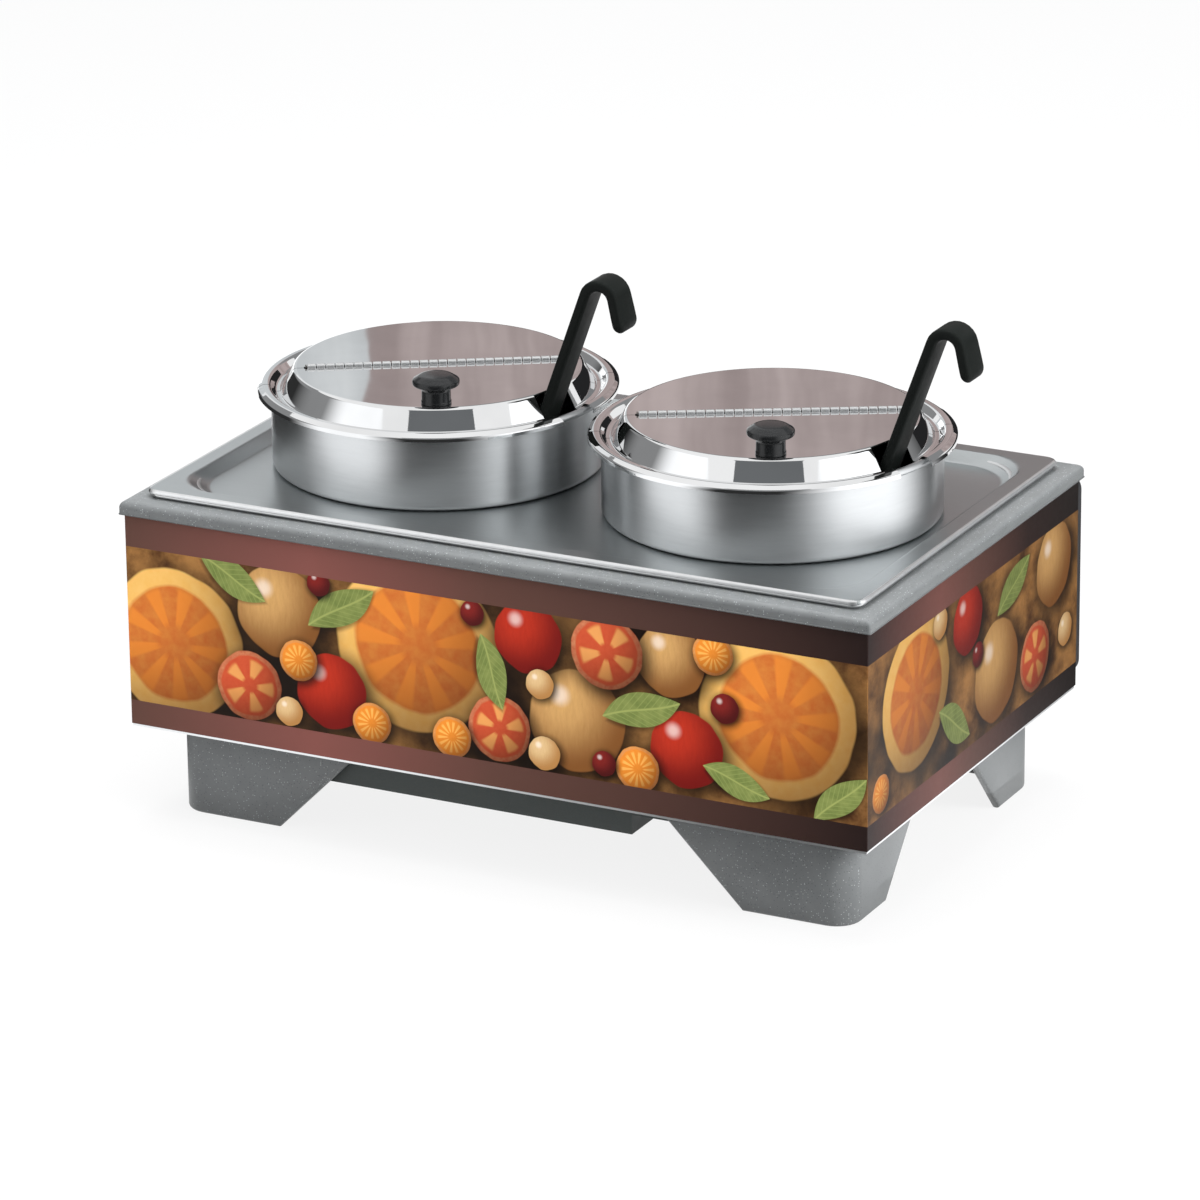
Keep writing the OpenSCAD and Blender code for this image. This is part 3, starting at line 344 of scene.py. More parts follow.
def feed(tree, socket, value):
    """Links an input, or sets it to a number, a vector or a colour of three parts."""
    if isinstance(value, bpy.types.NodeSocket):
        tree.links.new(value, socket)
    elif socket.type == "RGBA":
        socket.default_value = (*value, 1)
    else:
        socket.default_value = value


def feed_named(tree, node, **values):
    """Feeds a node's inputs by name, with underscores for spaces."""
    for key, value in values.items():
        feed(tree, node.inputs[key.replace("_", " ")], value)


def feed_in_order(tree, node, *values):
    """Feeds a node's first inputs, passing over values of None."""
    for socket, value in zip(node.inputs, values):
        if value is not None:
            feed(tree, socket, value)


def tree_node(tree, kind, settings=None, **values):
    """A node with its settings made and its inputs fed."""
    node = tree.nodes.new(kind)
    for key, value in (settings or {}).items():
        setattr(node, key, value)
    feed_named(tree, node, **values)
    return node


def new_group(name, kind, inputs, outputs):
    """An empty node group, its inputs' sockets and its output node."""
    group = bpy.data.node_groups.new(name, kind)
    for in_out, sockets in (("INPUT", inputs), ("OUTPUT", outputs)):
        for label, socket in sockets.items():
            group.interface.new_socket(label, in_out=in_out, socket_type="NodeSocket" + socket)
    given = group.nodes.new("NodeGroupInput")
    result = group.nodes.new("NodeGroupOutput")
    return group, given.outputs, result


def math_node(tree, operation, a, b=None, c=None, clamp=False):
    """A Math node's value; each input is a socket or a number."""
    node = tree_node(tree, "ShaderNodeMath", {"operation": operation, "use_clamp": clamp})
    feed_in_order(tree, node, a, b, c)
    return node.outputs["Value"]


def times(tree, a, b):
    """Product of two values."""
    return math_node(tree, "MULTIPLY", a, b)


def rest_of(tree, share):
    """What a share leaves of 1."""
    return math_node(tree, "SUBTRACT", 1.0, share)


def between(tree, value, low, high):
    """Maps a value from 0..1 to low..high."""
    return math_node(tree, "MULTIPLY_ADD", value, high - low, low)


def vector_node(tree, operation, a, b=None, c=None):
    """A Vector Math node's result; each input is a socket or three numbers."""
    node = tree_node(tree, "ShaderNodeVectorMath", {"operation": operation})
    feed_in_order(tree, node, a, b, c)
    return node.outputs["Value" if operation == "LENGTH" else "Vector"]


def scaled(tree, vector, scale):
    """A vector times a value."""
    node = tree_node(tree, "ShaderNodeVectorMath", {"operation": "SCALE"}, Scale=scale)
    feed_in_order(tree, node, vector)
    return node.outputs["Vector"]


def distance(tree, vector, shift=None):
    """Length of a vector, moved by a shift if there is one."""
    if shift:
        vector = vector_node(tree, "ADD", vector, shift)
    return vector_node(tree, "LENGTH", vector)


def split_xyz(tree, vector):
    """A vector's X, Y and Z."""
    return tree_node(tree, "ShaderNodeSeparateXYZ", Vector=vector).outputs


def turned_about_z(tree, vector, angle):
    """A vector turned about the Z axis."""
    node = tree_node(tree, "ShaderNodeVectorRotate", {"rotation_type": "Z_AXIS"}, Vector=vector, Angle=angle)
    return node.outputs["Vector"]


def smooth_mask(tree, value, low, high):
    """1 where the value is under low, falling smoothly to 0 at high."""
    node = tree_node(
        tree, "ShaderNodeMapRange", {"interpolation_type": "SMOOTHSTEP"}, Value=value, From_Min=low,
        From_Max=high, To_Min=1.0, To_Max=0.0)
    return node.outputs["Result"]


def blended(tree, share, first, second, mode="MIX"):
    """A colour Mix node's colour; colours are sockets or three numbers, the share a socket or number."""
    node = tree_node(tree, "ShaderNodeMix", {"data_type": "RGBA", "blend_type": mode})
    for place_in, value in ((MIX_FACTOR, share), (MIX_FIRST, first), (MIX_SECOND, second)):
        feed(tree, node.inputs[place_in], value)
    return node.outputs[MIX_RESULT]


def noise(tree, vector, scale, detail=3.0, roughness=0.55):
    """A Noise Texture's value."""
    node = tree_node(
        tree, "ShaderNodeTexNoise", Vector=vector, Scale=scale, Detail=detail, Roughness=roughness)
    return node.outputs["Fac"]


def uv_place(tree, uv):
    """Place on a UV map."""
    return tree_node(tree, "ShaderNodeUVMap", {"uv_map": uv}).outputs["UV"]


def object_place(tree):
    """Place in an object's own coordinates."""
    return tree_node(tree, "ShaderNodeTexCoord").outputs["Object"]


def placed_group(tree, group, **inputs):
    """The outputs of a group node with its inputs fed."""
    return tree_node(tree, "ShaderNodeGroup", {"node_tree": group}, **inputs).outputs


# Repeated pieces by Geometry Nodes

def copies_tree():
    """Copies of one piece along a line, each turned by a further twist."""
    inputs = {
        "Piece": "Object", "Count": "Int", "Start": "Vector", "Step": "Vector", "Turn": "Vector",
        "Twist": "Vector", "Finish": "Material",
    }
    tree, given, result = new_group("Copies of a piece", "GeometryNodeTree", inputs, {"Copies": "Geometry"})
    line = tree_node(
        tree, "GeometryNodeMeshLine", Count=given["Count"], Start_Location=given["Start"],
        Offset=given["Step"])
    piece = tree_node(tree, "GeometryNodeObjectInfo", Object=given["Piece"])
    index = tree_node(tree, "GeometryNodeInputIndex").outputs["Index"]
    turn = vector_node(tree, "MULTIPLY_ADD", index, given["Twist"], given["Turn"])
    copies = tree_node(
        tree, "GeometryNodeInstanceOnPoints", Points=line.outputs["Mesh"],
        Instance=piece.outputs["Geometry"], Rotation=turn)
    real = tree_node(tree, "GeometryNodeRealizeInstances", Geometry=copies.outputs["Instances"])
    finish = tree_node(
        tree, "GeometryNodeSetMaterial", Geometry=real.outputs["Geometry"], Material=given["Finish"])
    feed_named(tree, result, Copies=finish.outputs["Geometry"])
    return tree


def repeated(name, template, **inputs):
    """Copies a template piece with the Geometry Nodes tree and keeps the plain mesh."""
    obj = scene_object(name, bpy.data.meshes.new(name))
    modifier = obj.modifiers.new(COPIES.name, "NODES")
    modifier.node_group = COPIES
    inputs["Piece"] = template
    for item in COPIES.interface.items_tree:
        if item.in_out == "INPUT" and item.name in inputs:
            modifier[item.identifier] = inputs[item.name]
    settled(obj)
    bpy.data.objects.remove(template, do_unlink=True)
    return obj


# Shader node groups shared by several finishes

def speckle_group():
    """Pale and dark specks cast into resin."""
    group, given, result = new_group(
        "Cast specks", "ShaderNodeTree", {"Vector": "Vector", "Scale": "Float"},
        {"Pale": "Float", "Dark": "Float", "Mottle": "Float"})
    cells_at = scaled(group, given["Vector"], given["Scale"])
    cells = tree_node(group, "ShaderNodeTexVoronoi", Vector=cells_at, Scale=1.0).outputs
    pick = tree_node(group, "ShaderNodeSeparateColor", Color=cells["Color"]).outputs["Red"]
    near = smooth_mask(group, cells["Distance"], 0.16, 0.34)
    feed_named(
        group, result, Pale=times(group, near, math_node(group, "GREATER_THAN", pick, 0.80)),
        Dark=times(group, near, math_node(group, "LESS_THAN", pick, 0.24)),
        Mottle=noise(group, cells_at, 0.08))
    return group


def brushed_group():
    """Fine parallel scratches; Stretch is how much finer they are across than along."""
    group, given, result = new_group(
        "Brushed lines", "ShaderNodeTree", {"Vector": "Vector", "Stretch": "Vector"},
        {"Lines": "Float", "Streaks": "Float", "Cloud": "Float"})
    stretched = vector_node(group, "MULTIPLY", given["Vector"], given["Stretch"])
    feed_named(
        group, result, Lines=noise(group, stretched, 2.0, 4.0, 0.7),
        Streaks=noise(group, stretched, 0.22, 2.0, 0.5), Cloud=noise(group, given["Vector"], 9.0, 2.0, 0.5))
    return group


def handling_group():
    """Soft smudges and fine wipe marks."""
    group, given, result = new_group(
        "Handling marks", "ShaderNodeTree", {"Vector": "Vector"}, {"Smudge": "Float", "Wipe": "Float"})
    smudge = noise(group, given["Vector"], 14.0, 3.0, 0.6)
    feed_named(
        group, result, Smudge=smooth_mask(group, smudge, 0.35, 0.7),
        Wipe=noise(group, given["Vector"], 160.0, 2.0, 0.6))
    return group


COPIES = copies_tree()
SPECKS = speckle_group()
BRUSHED = brushed_group()
HANDLING = handling_group()


# Finishes

BRUSH_TURN = 0.25
CLOUD_ROUGH = 0.08
COAT_ROUGH = 0.08


def new_material(name):
    """A material with its tree, shader and Object coordinates."""
    material = bpy.data.materials.new(name)
    material.use_nodes = True
    tree = material.node_tree
    return material, tree, tree.nodes["Principled BSDF"], object_place(tree)


def bumped(tree, height, strength, depth):
    """A normal from a height."""
    node = tree_node(tree, "ShaderNodeBump", Strength=strength, Distance=depth, Height=height)
    return node.outputs["Normal"]


def toned_down(colour, share):
    """A colour times a share."""
    return tuple(part * share for part in colour)


def resin_finish():
    """Mid grey moulded resin with pale and dark specks."""
    material, tree, shader, where = new_material("resin_grey")
    specks = placed_group(tree, SPECKS, Vector=where, Scale=820.0)
    body = blended(tree, specks["Mottle"], (0.098, 0.104, 0.106), (0.138, 0.145, 0.147))
    darker = blended(tree, specks["Dark"], body, (0.05, 0.053, 0.055))
    feed_named(
        tree, shader, Base_Color=blended(tree, specks["Pale"], darker, (0.34, 0.355, 0.36)),
        Roughness=between(tree, specks["Mottle"], 0.30, 0.44),
        Normal=bumped(tree, noise(tree, where, 1500.0, 2.0), 0.10, 0.0004))
    return material


def steel_finish(name, stretch, colour, roughness, spread, anisotropy=0.0, uv=None):
    """Stainless sheet brushed in one direction."""
    material, tree, shader, where = new_material(name)
    if uv:
        where = uv_place(tree, uv)
        tangent = tree_node(tree, "ShaderNodeTangent", {"direction_type": "UV_MAP", "uv_map": uv})
        feed_named(tree, shader, Tangent=tangent.outputs["Tangent"])
    lines = placed_group(tree, BRUSHED, Vector=where, Stretch=stretch)
    dull = toned_down(colour, 0.80)
    tone = blended(tree, lines["Lines"], dull, colour)
    tone = blended(tree, between(tree, lines["Streaks"], 0.0, 0.35), tone, dull)
    rough = between(tree, lines["Lines"], roughness - spread, roughness + spread)
    rough = math_node(tree, "MULTIPLY_ADD", lines["Cloud"], CLOUD_ROUGH, rough)
    feed_named(
        tree, shader, Metallic=1.0, Anisotropic=anisotropy, Anisotropic_Rotation=BRUSH_TURN,
        Base_Color=tone, Roughness=rough, Normal=bumped(tree, lines["Lines"], 0.06, 0.0002))
    return material


def polished_finish():
    """Mirror-polished stainless with faint haze, wipe marks and slow waves."""
    material, tree, shader, where = new_material("steel_polished")
    marks = placed_group(tree, HANDLING, Vector=where)
    rough = between(tree, marks["Smudge"], 0.034, 0.022)
    feed_named(
        tree, shader, Metallic=1.0,
        Base_Color=blended(tree, marks["Smudge"], (0.76, 0.765, 0.77), (0.83, 0.835, 0.84)),
        Roughness=math_node(tree, "MULTIPLY_ADD", marks["Wipe"], 0.012, rough),
        Normal=bumped(tree, noise(tree, where, 11.0, 1.0), 0.12, 0.0022))
    return material


def coated_finish(name, colour, roughness, grain, bump, coat=0.0, shine=0.3):
    """Plastic or paint with fine grain, uneven gloss and faint dust."""
    material, tree, shader, where = new_material(name)
    marks = placed_group(tree, HANDLING, Vector=where)
    fine = noise(tree, where, grain, 3.0)
    pale = tuple(min(1.0, part * 1.18 + 0.004) for part in colour)
    tone = blended(tree, fine, toned_down(colour, 0.86), pale)
    feed_named(
        tree, shader, Base_Color=blended(tree, between(tree, marks["Smudge"], 0.0, 0.25), tone, pale),
        Roughness=between(tree, marks["Wipe"], roughness * 0.82, roughness * 1.2),
        Specular_IOR_Level=shine, Coat_Weight=coat, Coat_Roughness=COAT_ROUGH,
        Normal=bumped(tree, fine, bump, 0.0003))
    return material


def metal_finish(name, colour, roughness):
    """Plated or bare metal with blotches and fine grain."""
    material, tree, shader, where = new_material(name)
    marks = placed_group(tree, HANDLING, Vector=where)
    feed_named(
        tree, shader, Metallic=1.0,
        Base_Color=blended(tree, marks["Smudge"], toned_down(colour, 0.78), colour),
        Roughness=between(tree, marks["Wipe"], roughness * 0.75, roughness * 1.25),
        Normal=bumped(tree, marks["Wipe"], 0.08, 0.0002))
    return material


RESIN = resin_finish()
STEEL_PLATE = steel_finish("steel_plate", (40.0, 900.0, 900.0), (0.57, 0.60, 0.608), 0.27, 0.05)
STEEL_TURNED = steel_finish(
    "steel_turned", (12.0, 900.0, 1.0), (0.80, 0.815, 0.825), 0.30, 0.04, 0.80, "Run")
STEEL_BRIGHT = steel_finish("steel_bright", (60.0, 60.0, 900.0), (0.86, 0.87, 0.875), 0.36, 0.05)
# Painted highlight: a paler copy of the plate's steel for the plate's lip, so the lip reads as a bright line
STEEL_LIP_HIGHLIGHT = steel_finish("steel_lip_highlight", (60.0, 60.0, 60.0), (0.97, 0.975, 0.98), 0.38, 0.03)
STEEL_POLISHED = polished_finish()
BLACK_GLOSS = coated_finish("black_gloss", (0.006, 0.0065, 0.007), 0.16, 420.0, 0.02, 0.0, 0.34)
BLACK_SATIN = coated_finish("black_satin", (0.0035, 0.0045, 0.004), 0.40, 900.0, 0.10, 0.0, 0.06)
BLACK_PAINT = coated_finish("black_paint", (0.016, 0.016, 0.018), 0.42, 1400.0, 0.14)
CHARCOAL = coated_finish("charcoal_paint", (0.040, 0.047, 0.045), 0.48, 1200.0, 0.12)
MARK_WHITE = coated_finish("mark_white", (0.78, 0.78, 0.76), 0.45, 900.0, 0.04)
CREAM = coated_finish("cream_plastic", (0.62, 0.58, 0.48), 0.45, 700.0, 0.06)
MINERAL = coated_finish("mineral_board", (0.62, 0.57, 0.43), 0.9, 260.0, 0.5)
WIRE_RED = coated_finish("wire_red", (0.45, 0.035, 0.025), 0.32, 500.0, 0.03)
ROCKER_RED = coated_finish("rocker_red", (0.36, 0.012, 0.010), 0.22, 500.0, 0.02, 0.4)
AMBER = coated_finish("lamp_amber", (0.75, 0.20, 0.02), 0.12, 300.0, 0.02, 0.6)
ZINC = metal_finish("zinc_plate", (0.60, 0.60, 0.57), 0.34)
COPPER = metal_finish("copper_tube", (0.70, 0.36, 0.22), 0.30)
# Dark sheath metal of the heater; on the hinge pins the same dark is painted shade in the gaps between the
# knuckles
SHEATH_AND_GAP_SHADE = metal_finish("heater_sheath", (0.20, 0.19, 0.18), 0.55)


# Printed film: groups that lay one motif over the colour below

DEEP_SHADE = (0.008, 0.004, 0.002)
LEAF_SHADE = (0.012, 0.006, 0.003)
FAR_SIDE = (0.050, 0.010, 0.003)
GLINT = (1.0, 0.93, 0.86)
PALE_RIND = (0.95, 0.72, 0.32)
SKIN_STRETCH = (9.0, 2.0, 1.0)
LEAF_SLIM = 2.4


def motif_group(name, own_inputs):
    """A group for one printed motif.

    Returns the group, its inputs and output, then the place on the motif in units of its size:
    first turned with the motif, for its shape, and then unturned, for its light.
    """
    inputs = {"Under": "Color", "Place": "Vector", "Centre": "Vector", "Size": "Float", "Turn": "Float"}
    group, given, result = new_group(name, "ShaderNodeTree", inputs | own_inputs, {"Color": "Color"})
    offset = vector_node(group, "SUBTRACT", given["Place"], given["Centre"])
    share = math_node(group, "DIVIDE", 1.0, given["Size"])
    local = scaled(group, turned_about_z(group, offset, given["Turn"]), share)
    return group, given, result, local, scaled(group, offset, share)


def shadowed(group, given, lit, reach):
    """The colour below with a soft shadow cast down and to the right."""
    away = distance(group, lit, (-0.10, 0.13, 0.0))
    shade = times(group, smooth_mask(group, away, 0.75, reach), 0.92)
    return blended(group, shade, given["Under"], DEEP_SHADE)


def rounded_off(group, lit, body, share):
    """Darkens a motif away from its lit upper left side."""
    side = distance(group, lit, (0.55, -0.60, 0.0))
    far = rest_of(group, smooth_mask(group, side, 0.35, 1.9))
    return blended(group, times(group, far, share), body, FAR_SIDE)


def ball_motif():
    """A round fruit or vegetable with a lit side, a dark side, a mottled skin and a highlight."""
    group, given, result, local, lit = motif_group("Printed ball", {"Lit": "Color", "Dark": "Color"})
    under = shadowed(group, given, lit, 1.50)
    wobble = noise(group, local, 1.3, 1.0)
    away = math_node(group, "MULTIPLY_ADD", wobble, 0.16, distance(group, local))
    side = distance(group, lit, (0.32, -0.38, 0.0))
    body = blended(group, smooth_mask(group, side, 0.15, 1.35), given["Dark"], given["Lit"])
    skin = noise(group, vector_node(group, "MULTIPLY", local, SKIN_STRETCH), 1.2, 4.0, 0.65)
    body = blended(group, times(group, skin, 0.55), body, given["Dark"])
    glint = smooth_mask(group, distance(group, lit, (0.36, -0.44, 0.0)), 0.05, 0.28)
    body = blended(group, times(group, glint, 0.45), body, GLINT)
    feed_named(group, result, Color=blended(group, smooth_mask(group, away, 1.04, 1.08), under, body))
    return group


def slice_motif():
    """A cut round: rind, flesh with spokes of lighter cells, and a core."""
    own_inputs = {"Rind": "Color", "Flesh": "Color", "Cells": "Color", "Spokes": "Float", "Inside": "Float"}
    group, given, result, local, lit = motif_group("Printed slice", own_inputs)
    under = shadowed(group, given, lit, 1.42)
    wobble = noise(group, local, 1.6, 1.0)
    away = math_node(group, "MULTIPLY_ADD", wobble, 0.12, distance(group, local))
    parts = split_xyz(group, local)
    angle = math_node(group, "ARCTAN2", parts["Y"], parts["X"])
    spoke = math_node(group, "SINE", times(group, angle, given["Spokes"]))
    outside_core = rest_of(group, smooth_mask(group, away, 0.22, 0.36))
    ring = times(group, smooth_mask(group, away, 0.72, 0.84), outside_core)
    cell = times(group, ring, smooth_mask(group, times(group, spoke, -1.0), -0.55, 0.25))
    grain = noise(group, local, 7.0, 3.0)
    flesh = blended(group, times(group, grain, 0.55), given["Flesh"], given["Rind"])
    body = blended(group, times(group, cell, 0.85), flesh, given["Cells"])
    depth = math_node(group, "SUBTRACT", given["Inside"], away)
    inside = math_node(group, "MULTIPLY_ADD", depth, 20.0, 0.5, True)
    rind = blended(group, times(group, grain, 0.4), given["Rind"], PALE_RIND)
    body = rounded_off(group, lit, blended(group, inside, rind, body), 0.75)
    feed_named(group, result, Color=blended(group, smooth_mask(group, away, 1.0, 1.035), under, body))
    return group


def leaf_motif():
    """A pointed leaf with a pale midrib and side veins."""
    group, given, result, local, _ = motif_group("Printed leaf", {"Blade": "Color", "Vein": "Color"})
    parts = split_xyz(group, local)
    along = parts["X"]
    bow = times(group, math_node(group, "SINE", times(group, along, 2.2)), 0.06)
    across = math_node(group, "ABSOLUTE", math_node(group, "ADD", parts["Y"], bow))
    edge = math_node(group, "ADD", times(group, across, LEAF_SLIM), times(group, along, along))
    vein_run = math_node(group, "SUBTRACT", times(group, along, 34.0), times(group, across, 46.0))
    wave = times(group, math_node(group, "SINE", vein_run), -1.0)
    veins = smooth_mask(group, wave, -0.97, -0.72)
    rib = smooth_mask(group, across, 0.010, 0.035)
    lines = math_node(group, "MAXIMUM", rib, times(group, veins, 0.45))
    tone = blended(group, noise(group, local, 3.0, 3.0), given["Blade"], given["Vein"])
    body = blended(group, lines, tone, given["Vein"])
    shadow = split_xyz(group, vector_node(group, "ADD", local, (-0.05, 0.07, 0.0)))
    wide = times(group, math_node(group, "ABSOLUTE", shadow["Y"]), LEAF_SLIM)
    shadow_edge = math_node(group, "MULTIPLY_ADD", shadow["X"], shadow["X"], wide)
    shade = times(group, smooth_mask(group, shadow_edge, 0.8, 1.15), 0.6)
    under = blended(group, shade, given["Under"], LEAF_SHADE)
    feed_named(group, result, Color=blended(group, smooth_mask(group, edge, 0.96, 1.0), under, body))
    return group


BALL = ball_motif()
SLICE = slice_motif()
LEAF = leaf_motif()
FILM_LOW, FILM_HIGH = node_box("front_graphic")
FILM_H = (FILM_HIGH.z - FILM_LOW.z) * MM
BAND_TOP = 22 * MM
BAND_LOW = 17 * MM


def ball_kind(lit, dark):
    """A whole round in its lit and dark tones."""
    return BALL, {"Lit": lit, "Dark": dark}


def slice_kind(rind, flesh, cells, spokes, inside=0.9):
    """A cut round in its tones, with its spokes and where its rind begins."""
    return SLICE, {"Rind": rind, "Flesh": flesh, "Cells": cells, "Spokes": spokes, "Inside": inside}


MOTIF_KINDS = {
    "apple": ball_kind((0.56, 0.035, 0.012), (0.16, 0.006, 0.004)),
    "onion": ball_kind((0.72, 0.42, 0.15), (0.20, 0.075, 0.018)),
    "chickpea": ball_kind((0.80, 0.58, 0.30), (0.42, 0.20, 0.06)),
    "bean": ball_kind((0.25, 0.018, 0.014), (0.07, 0.006, 0.006)),
    "squash": slice_kind((0.78, 0.40, 0.075), (0.50, 0.075, 0.012), (0.74, 0.23, 0.03), 9.0, 0.80),
    "citrus": slice_kind((0.42, 0.020, 0.010), (0.60, 0.10, 0.035), (0.78, 0.36, 0.10), 5.0),
    "carrot": slice_kind((0.62, 0.16, 0.012), (0.85, 0.28, 0.03), (0.92, 0.46, 0.10), 14.0),
    "leaf": (LEAF, {"Blade": (0.055, 0.10, 0.018), "Vein": (0.30, 0.34, 0.10)}),
}

# Motifs as (kind, share of length, share of height, size as a share of height, turn in degrees)
FRONT_MOTIFS = (
    ("squash", 0.065, 0.42, 0.37, 15), ("squash", 0.405, 0.60, 0.42, 35), ("squash", 0.885, 0.55, 0.39, 5),
    ("onion", 0.215, 0.66, 0.22, 0), ("onion", 0.620, 0.38, 0.24, 0), ("onion", 0.745, 0.73, 0.17, 0),
    ("apple", 0.285, 0.32, 0.18, 0), ("apple", 0.555, 0.73, 0.17, 0), ("apple", 0.765, 0.33, 0.18, 0),
    ("citrus", 0.170, 0.28, 0.17, 20), ("citrus", 0.660, 0.72, 0.18, 40), ("citrus", 0.515, 0.28, 0.16, 0),
    ("leaf", 0.150, 0.78, 0.19, 25), ("leaf", 0.300, 0.72, 0.20, -35), ("leaf", 0.505, 0.54, 0.18, 70),
    ("leaf", 0.705, 0.48, 0.20, -20), ("leaf", 0.830, 0.22, 0.17, 15), ("leaf", 0.965, 0.22, 0.17, -45),
    ("carrot", 0.240, 0.44, 0.10, 0), ("carrot", 0.340, 0.20, 0.10, 20), ("carrot", 0.450, 0.20, 0.10, 0),
    ("carrot", 0.700, 0.20, 0.11, 0), ("carrot", 0.800, 0.79, 0.10, 30), ("chickpea", 0.225, 0.19, 0.07, 0),
    ("chickpea", 0.570, 0.52, 0.07, 0), ("chickpea", 0.575, 0.20, 0.08, 0), ("bean", 0.270, 0.82, 0.06, 0),
    ("bean", 0.480, 0.80, 0.06, 0), ("bean", 0.655, 0.20, 0.06, 0), ("bean", 0.815, 0.55, 0.07, 0),
)
SIDE_MOTIFS = (
    ("squash", 0.22, 0.56, 0.36, 20), ("onion", 0.60, 0.38, 0.24, 0), ("onion", 0.88, 0.68, 0.20, 0),
    ("apple", 0.46, 0.72, 0.16, 0), ("leaf", 0.40, 0.28, 0.20, 30), ("leaf", 0.68, 0.72, 0.20, -30),
    ("citrus", 0.79, 0.30, 0.17, 0), ("carrot", 0.06, 0.22, 0.09, 0), ("chickpea", 0.33, 0.80, 0.075, 0),
    ("bean", 0.51, 0.52, 0.06, 0), ("chickpea", 0.94, 0.32, 0.08, 0),
)


# Tones along the brown bands as (share of length, colour)
FRONT_TONES = (
    (0.0, (0.100, 0.047, 0.036)), (0.26, (0.205, 0.072, 0.060)), (0.5, (0.104, 0.047, 0.036)),
    (0.72, (0.070, 0.033, 0.026)), (1.0, (0.018, 0.010, 0.009)),
)
SIDE_TONES = (
    (0.0, (0.025, 0.013, 0.012)), (0.33, (0.205, 0.078, 0.064)), (0.5, (0.120, 0.054, 0.042)),
    (0.75, (0.030, 0.016, 0.014)), (1.0, (0.012, 0.008, 0.007)),
)
LEFT_TONES = tuple((1 - share, tone) for share, tone in SIDE_TONES[::-1])
FRONT_INK = 1.0
SIDE_INK = 0.42
GROUND_PALE = (0.47, 0.225, 0.066)
GROUND_DARK = (0.040, 0.014, 0.005)
GROUND_FINE = (0.12, 0.042, 0.010)
MURK = (0.010, 0.005, 0.003)
FILM_SHINE = 0.08
MOTIF_REACH = 1.7


def toned(tree, value, tones):
    """Colour that runs through the tones as the value goes from 0 to 1."""
    node = tree_node(tree, "ShaderNodeValToRGB", Fac=value)
    stops = node.color_ramp.elements
    while len(stops) < len(tones):
        stops.new(0.5)
    for stop, (share, colour) in zip(stops, tones):
        stop.position = share
        stop.color = (*colour, 1)
    return node.outputs["Color"]


def print_sections(name, length, motifs, shift, sections, tones, ink):
    """Finishes for a film's sections, each with the motifs that reach into it."""
    finishes = []
    for k in range(sections):
        near = []
        for motif in motifs:
            reach = MOTIF_REACH * motif[3] * FILM_H / (length * MM)
            if k / sections - reach < motif[1] < (k + 1) / sections + reach:
                near.append(motif)
        finishes.append(print_finish(f"{name}_{k + 1}", length, near, shift, tones, ink))
    return finishes


def print_finish(name, length, motifs, shift, tones, ink):
    """Printed film: a mottled brown ground with motifs between two plain brown bands."""
    material, tree, shader, _ = new_material(name)
    place_at = uv_place(tree, "Film")
    parts = split_xyz(tree, place_at)
    coarse = noise(tree, vector_node(tree, "ADD", place_at, (shift, 0.0, 0.0)), 26.0, 5.0, 0.62)
    fine = noise(tree, place_at, 190.0, 4.0, 0.7)
    ground = blended(tree, smooth_mask(tree, coarse, 0.30, 0.68), GROUND_PALE, GROUND_DARK)
    ground = blended(tree, times(tree, fine, 0.45), ground, GROUND_FINE)
    murk = noise(tree, vector_node(tree, "ADD", place_at, (shift + 2.0, 1.0, 0.0)), 11.0, 2.0)
    colour = blended(tree, smooth_mask(tree, murk, 0.36, 0.56), ground, MURK)
    for kind, along, up, size, turn in motifs:
        group, own_values = MOTIF_KINDS[kind]
        centre = (along * length * MM, up * FILM_H, 0.0)
        colour = placed_group(
            tree, group, Under=colour, Place=place_at, Centre=centre, Size=size * FILM_H,
            Turn=math.radians(turn), **own_values)["Color"]
    brown = toned(tree, math_node(tree, "DIVIDE", parts["X"], length * MM), tones)
    low_band = math_node(tree, "LESS_THAN", parts["Y"], BAND_LOW)
    top_band = math_node(tree, "GREATER_THAN", parts["Y"], FILM_H - BAND_TOP)
    colour = blended(tree, math_node(tree, "MAXIMUM", low_band, top_band), colour, brown)
    feed_named(
        tree, shader, Base_Color=blended(tree, 1.0, colour, (ink, ink, ink), "MULTIPLY"),
        Roughness=between(tree, fine, 0.36, 0.48), Specular_IOR_Level=FILM_SHINE,
        Normal=bumped(tree, fine, 0.03, 0.0001))
    return material


# Casing: rim, upper walls and legs

RIM_FACE = 8.8
RIM_TRIM = 3.5
RIM_LEDGE = 0.4
RIM_CORNER = 1.6
RIM_EDGE_R = 4.2
RIM_FOOT = 0.6
RIM_GAP = 2.0
RIM_LAND = 13.0
RIM_BORDER = RIM_HIGH.x - RIM_TRIM - PLATE_HIGH.x - RIM_GAP
OPENING_R = 43.0
LEG_CORNER = 18.0
LEG_WALL = 6.0
LEG_FOOT_W = 77.0
LEG_FOOT_D = 55.5
LEG_SIDE_SLOPE = 0.9
LEG_EDGE_R = 2.2
LEG_EDGE_ANGLE = 50
LEG_RING = 2.0
CASING_WALL = 5.0
CASING_CORNER = 1.0


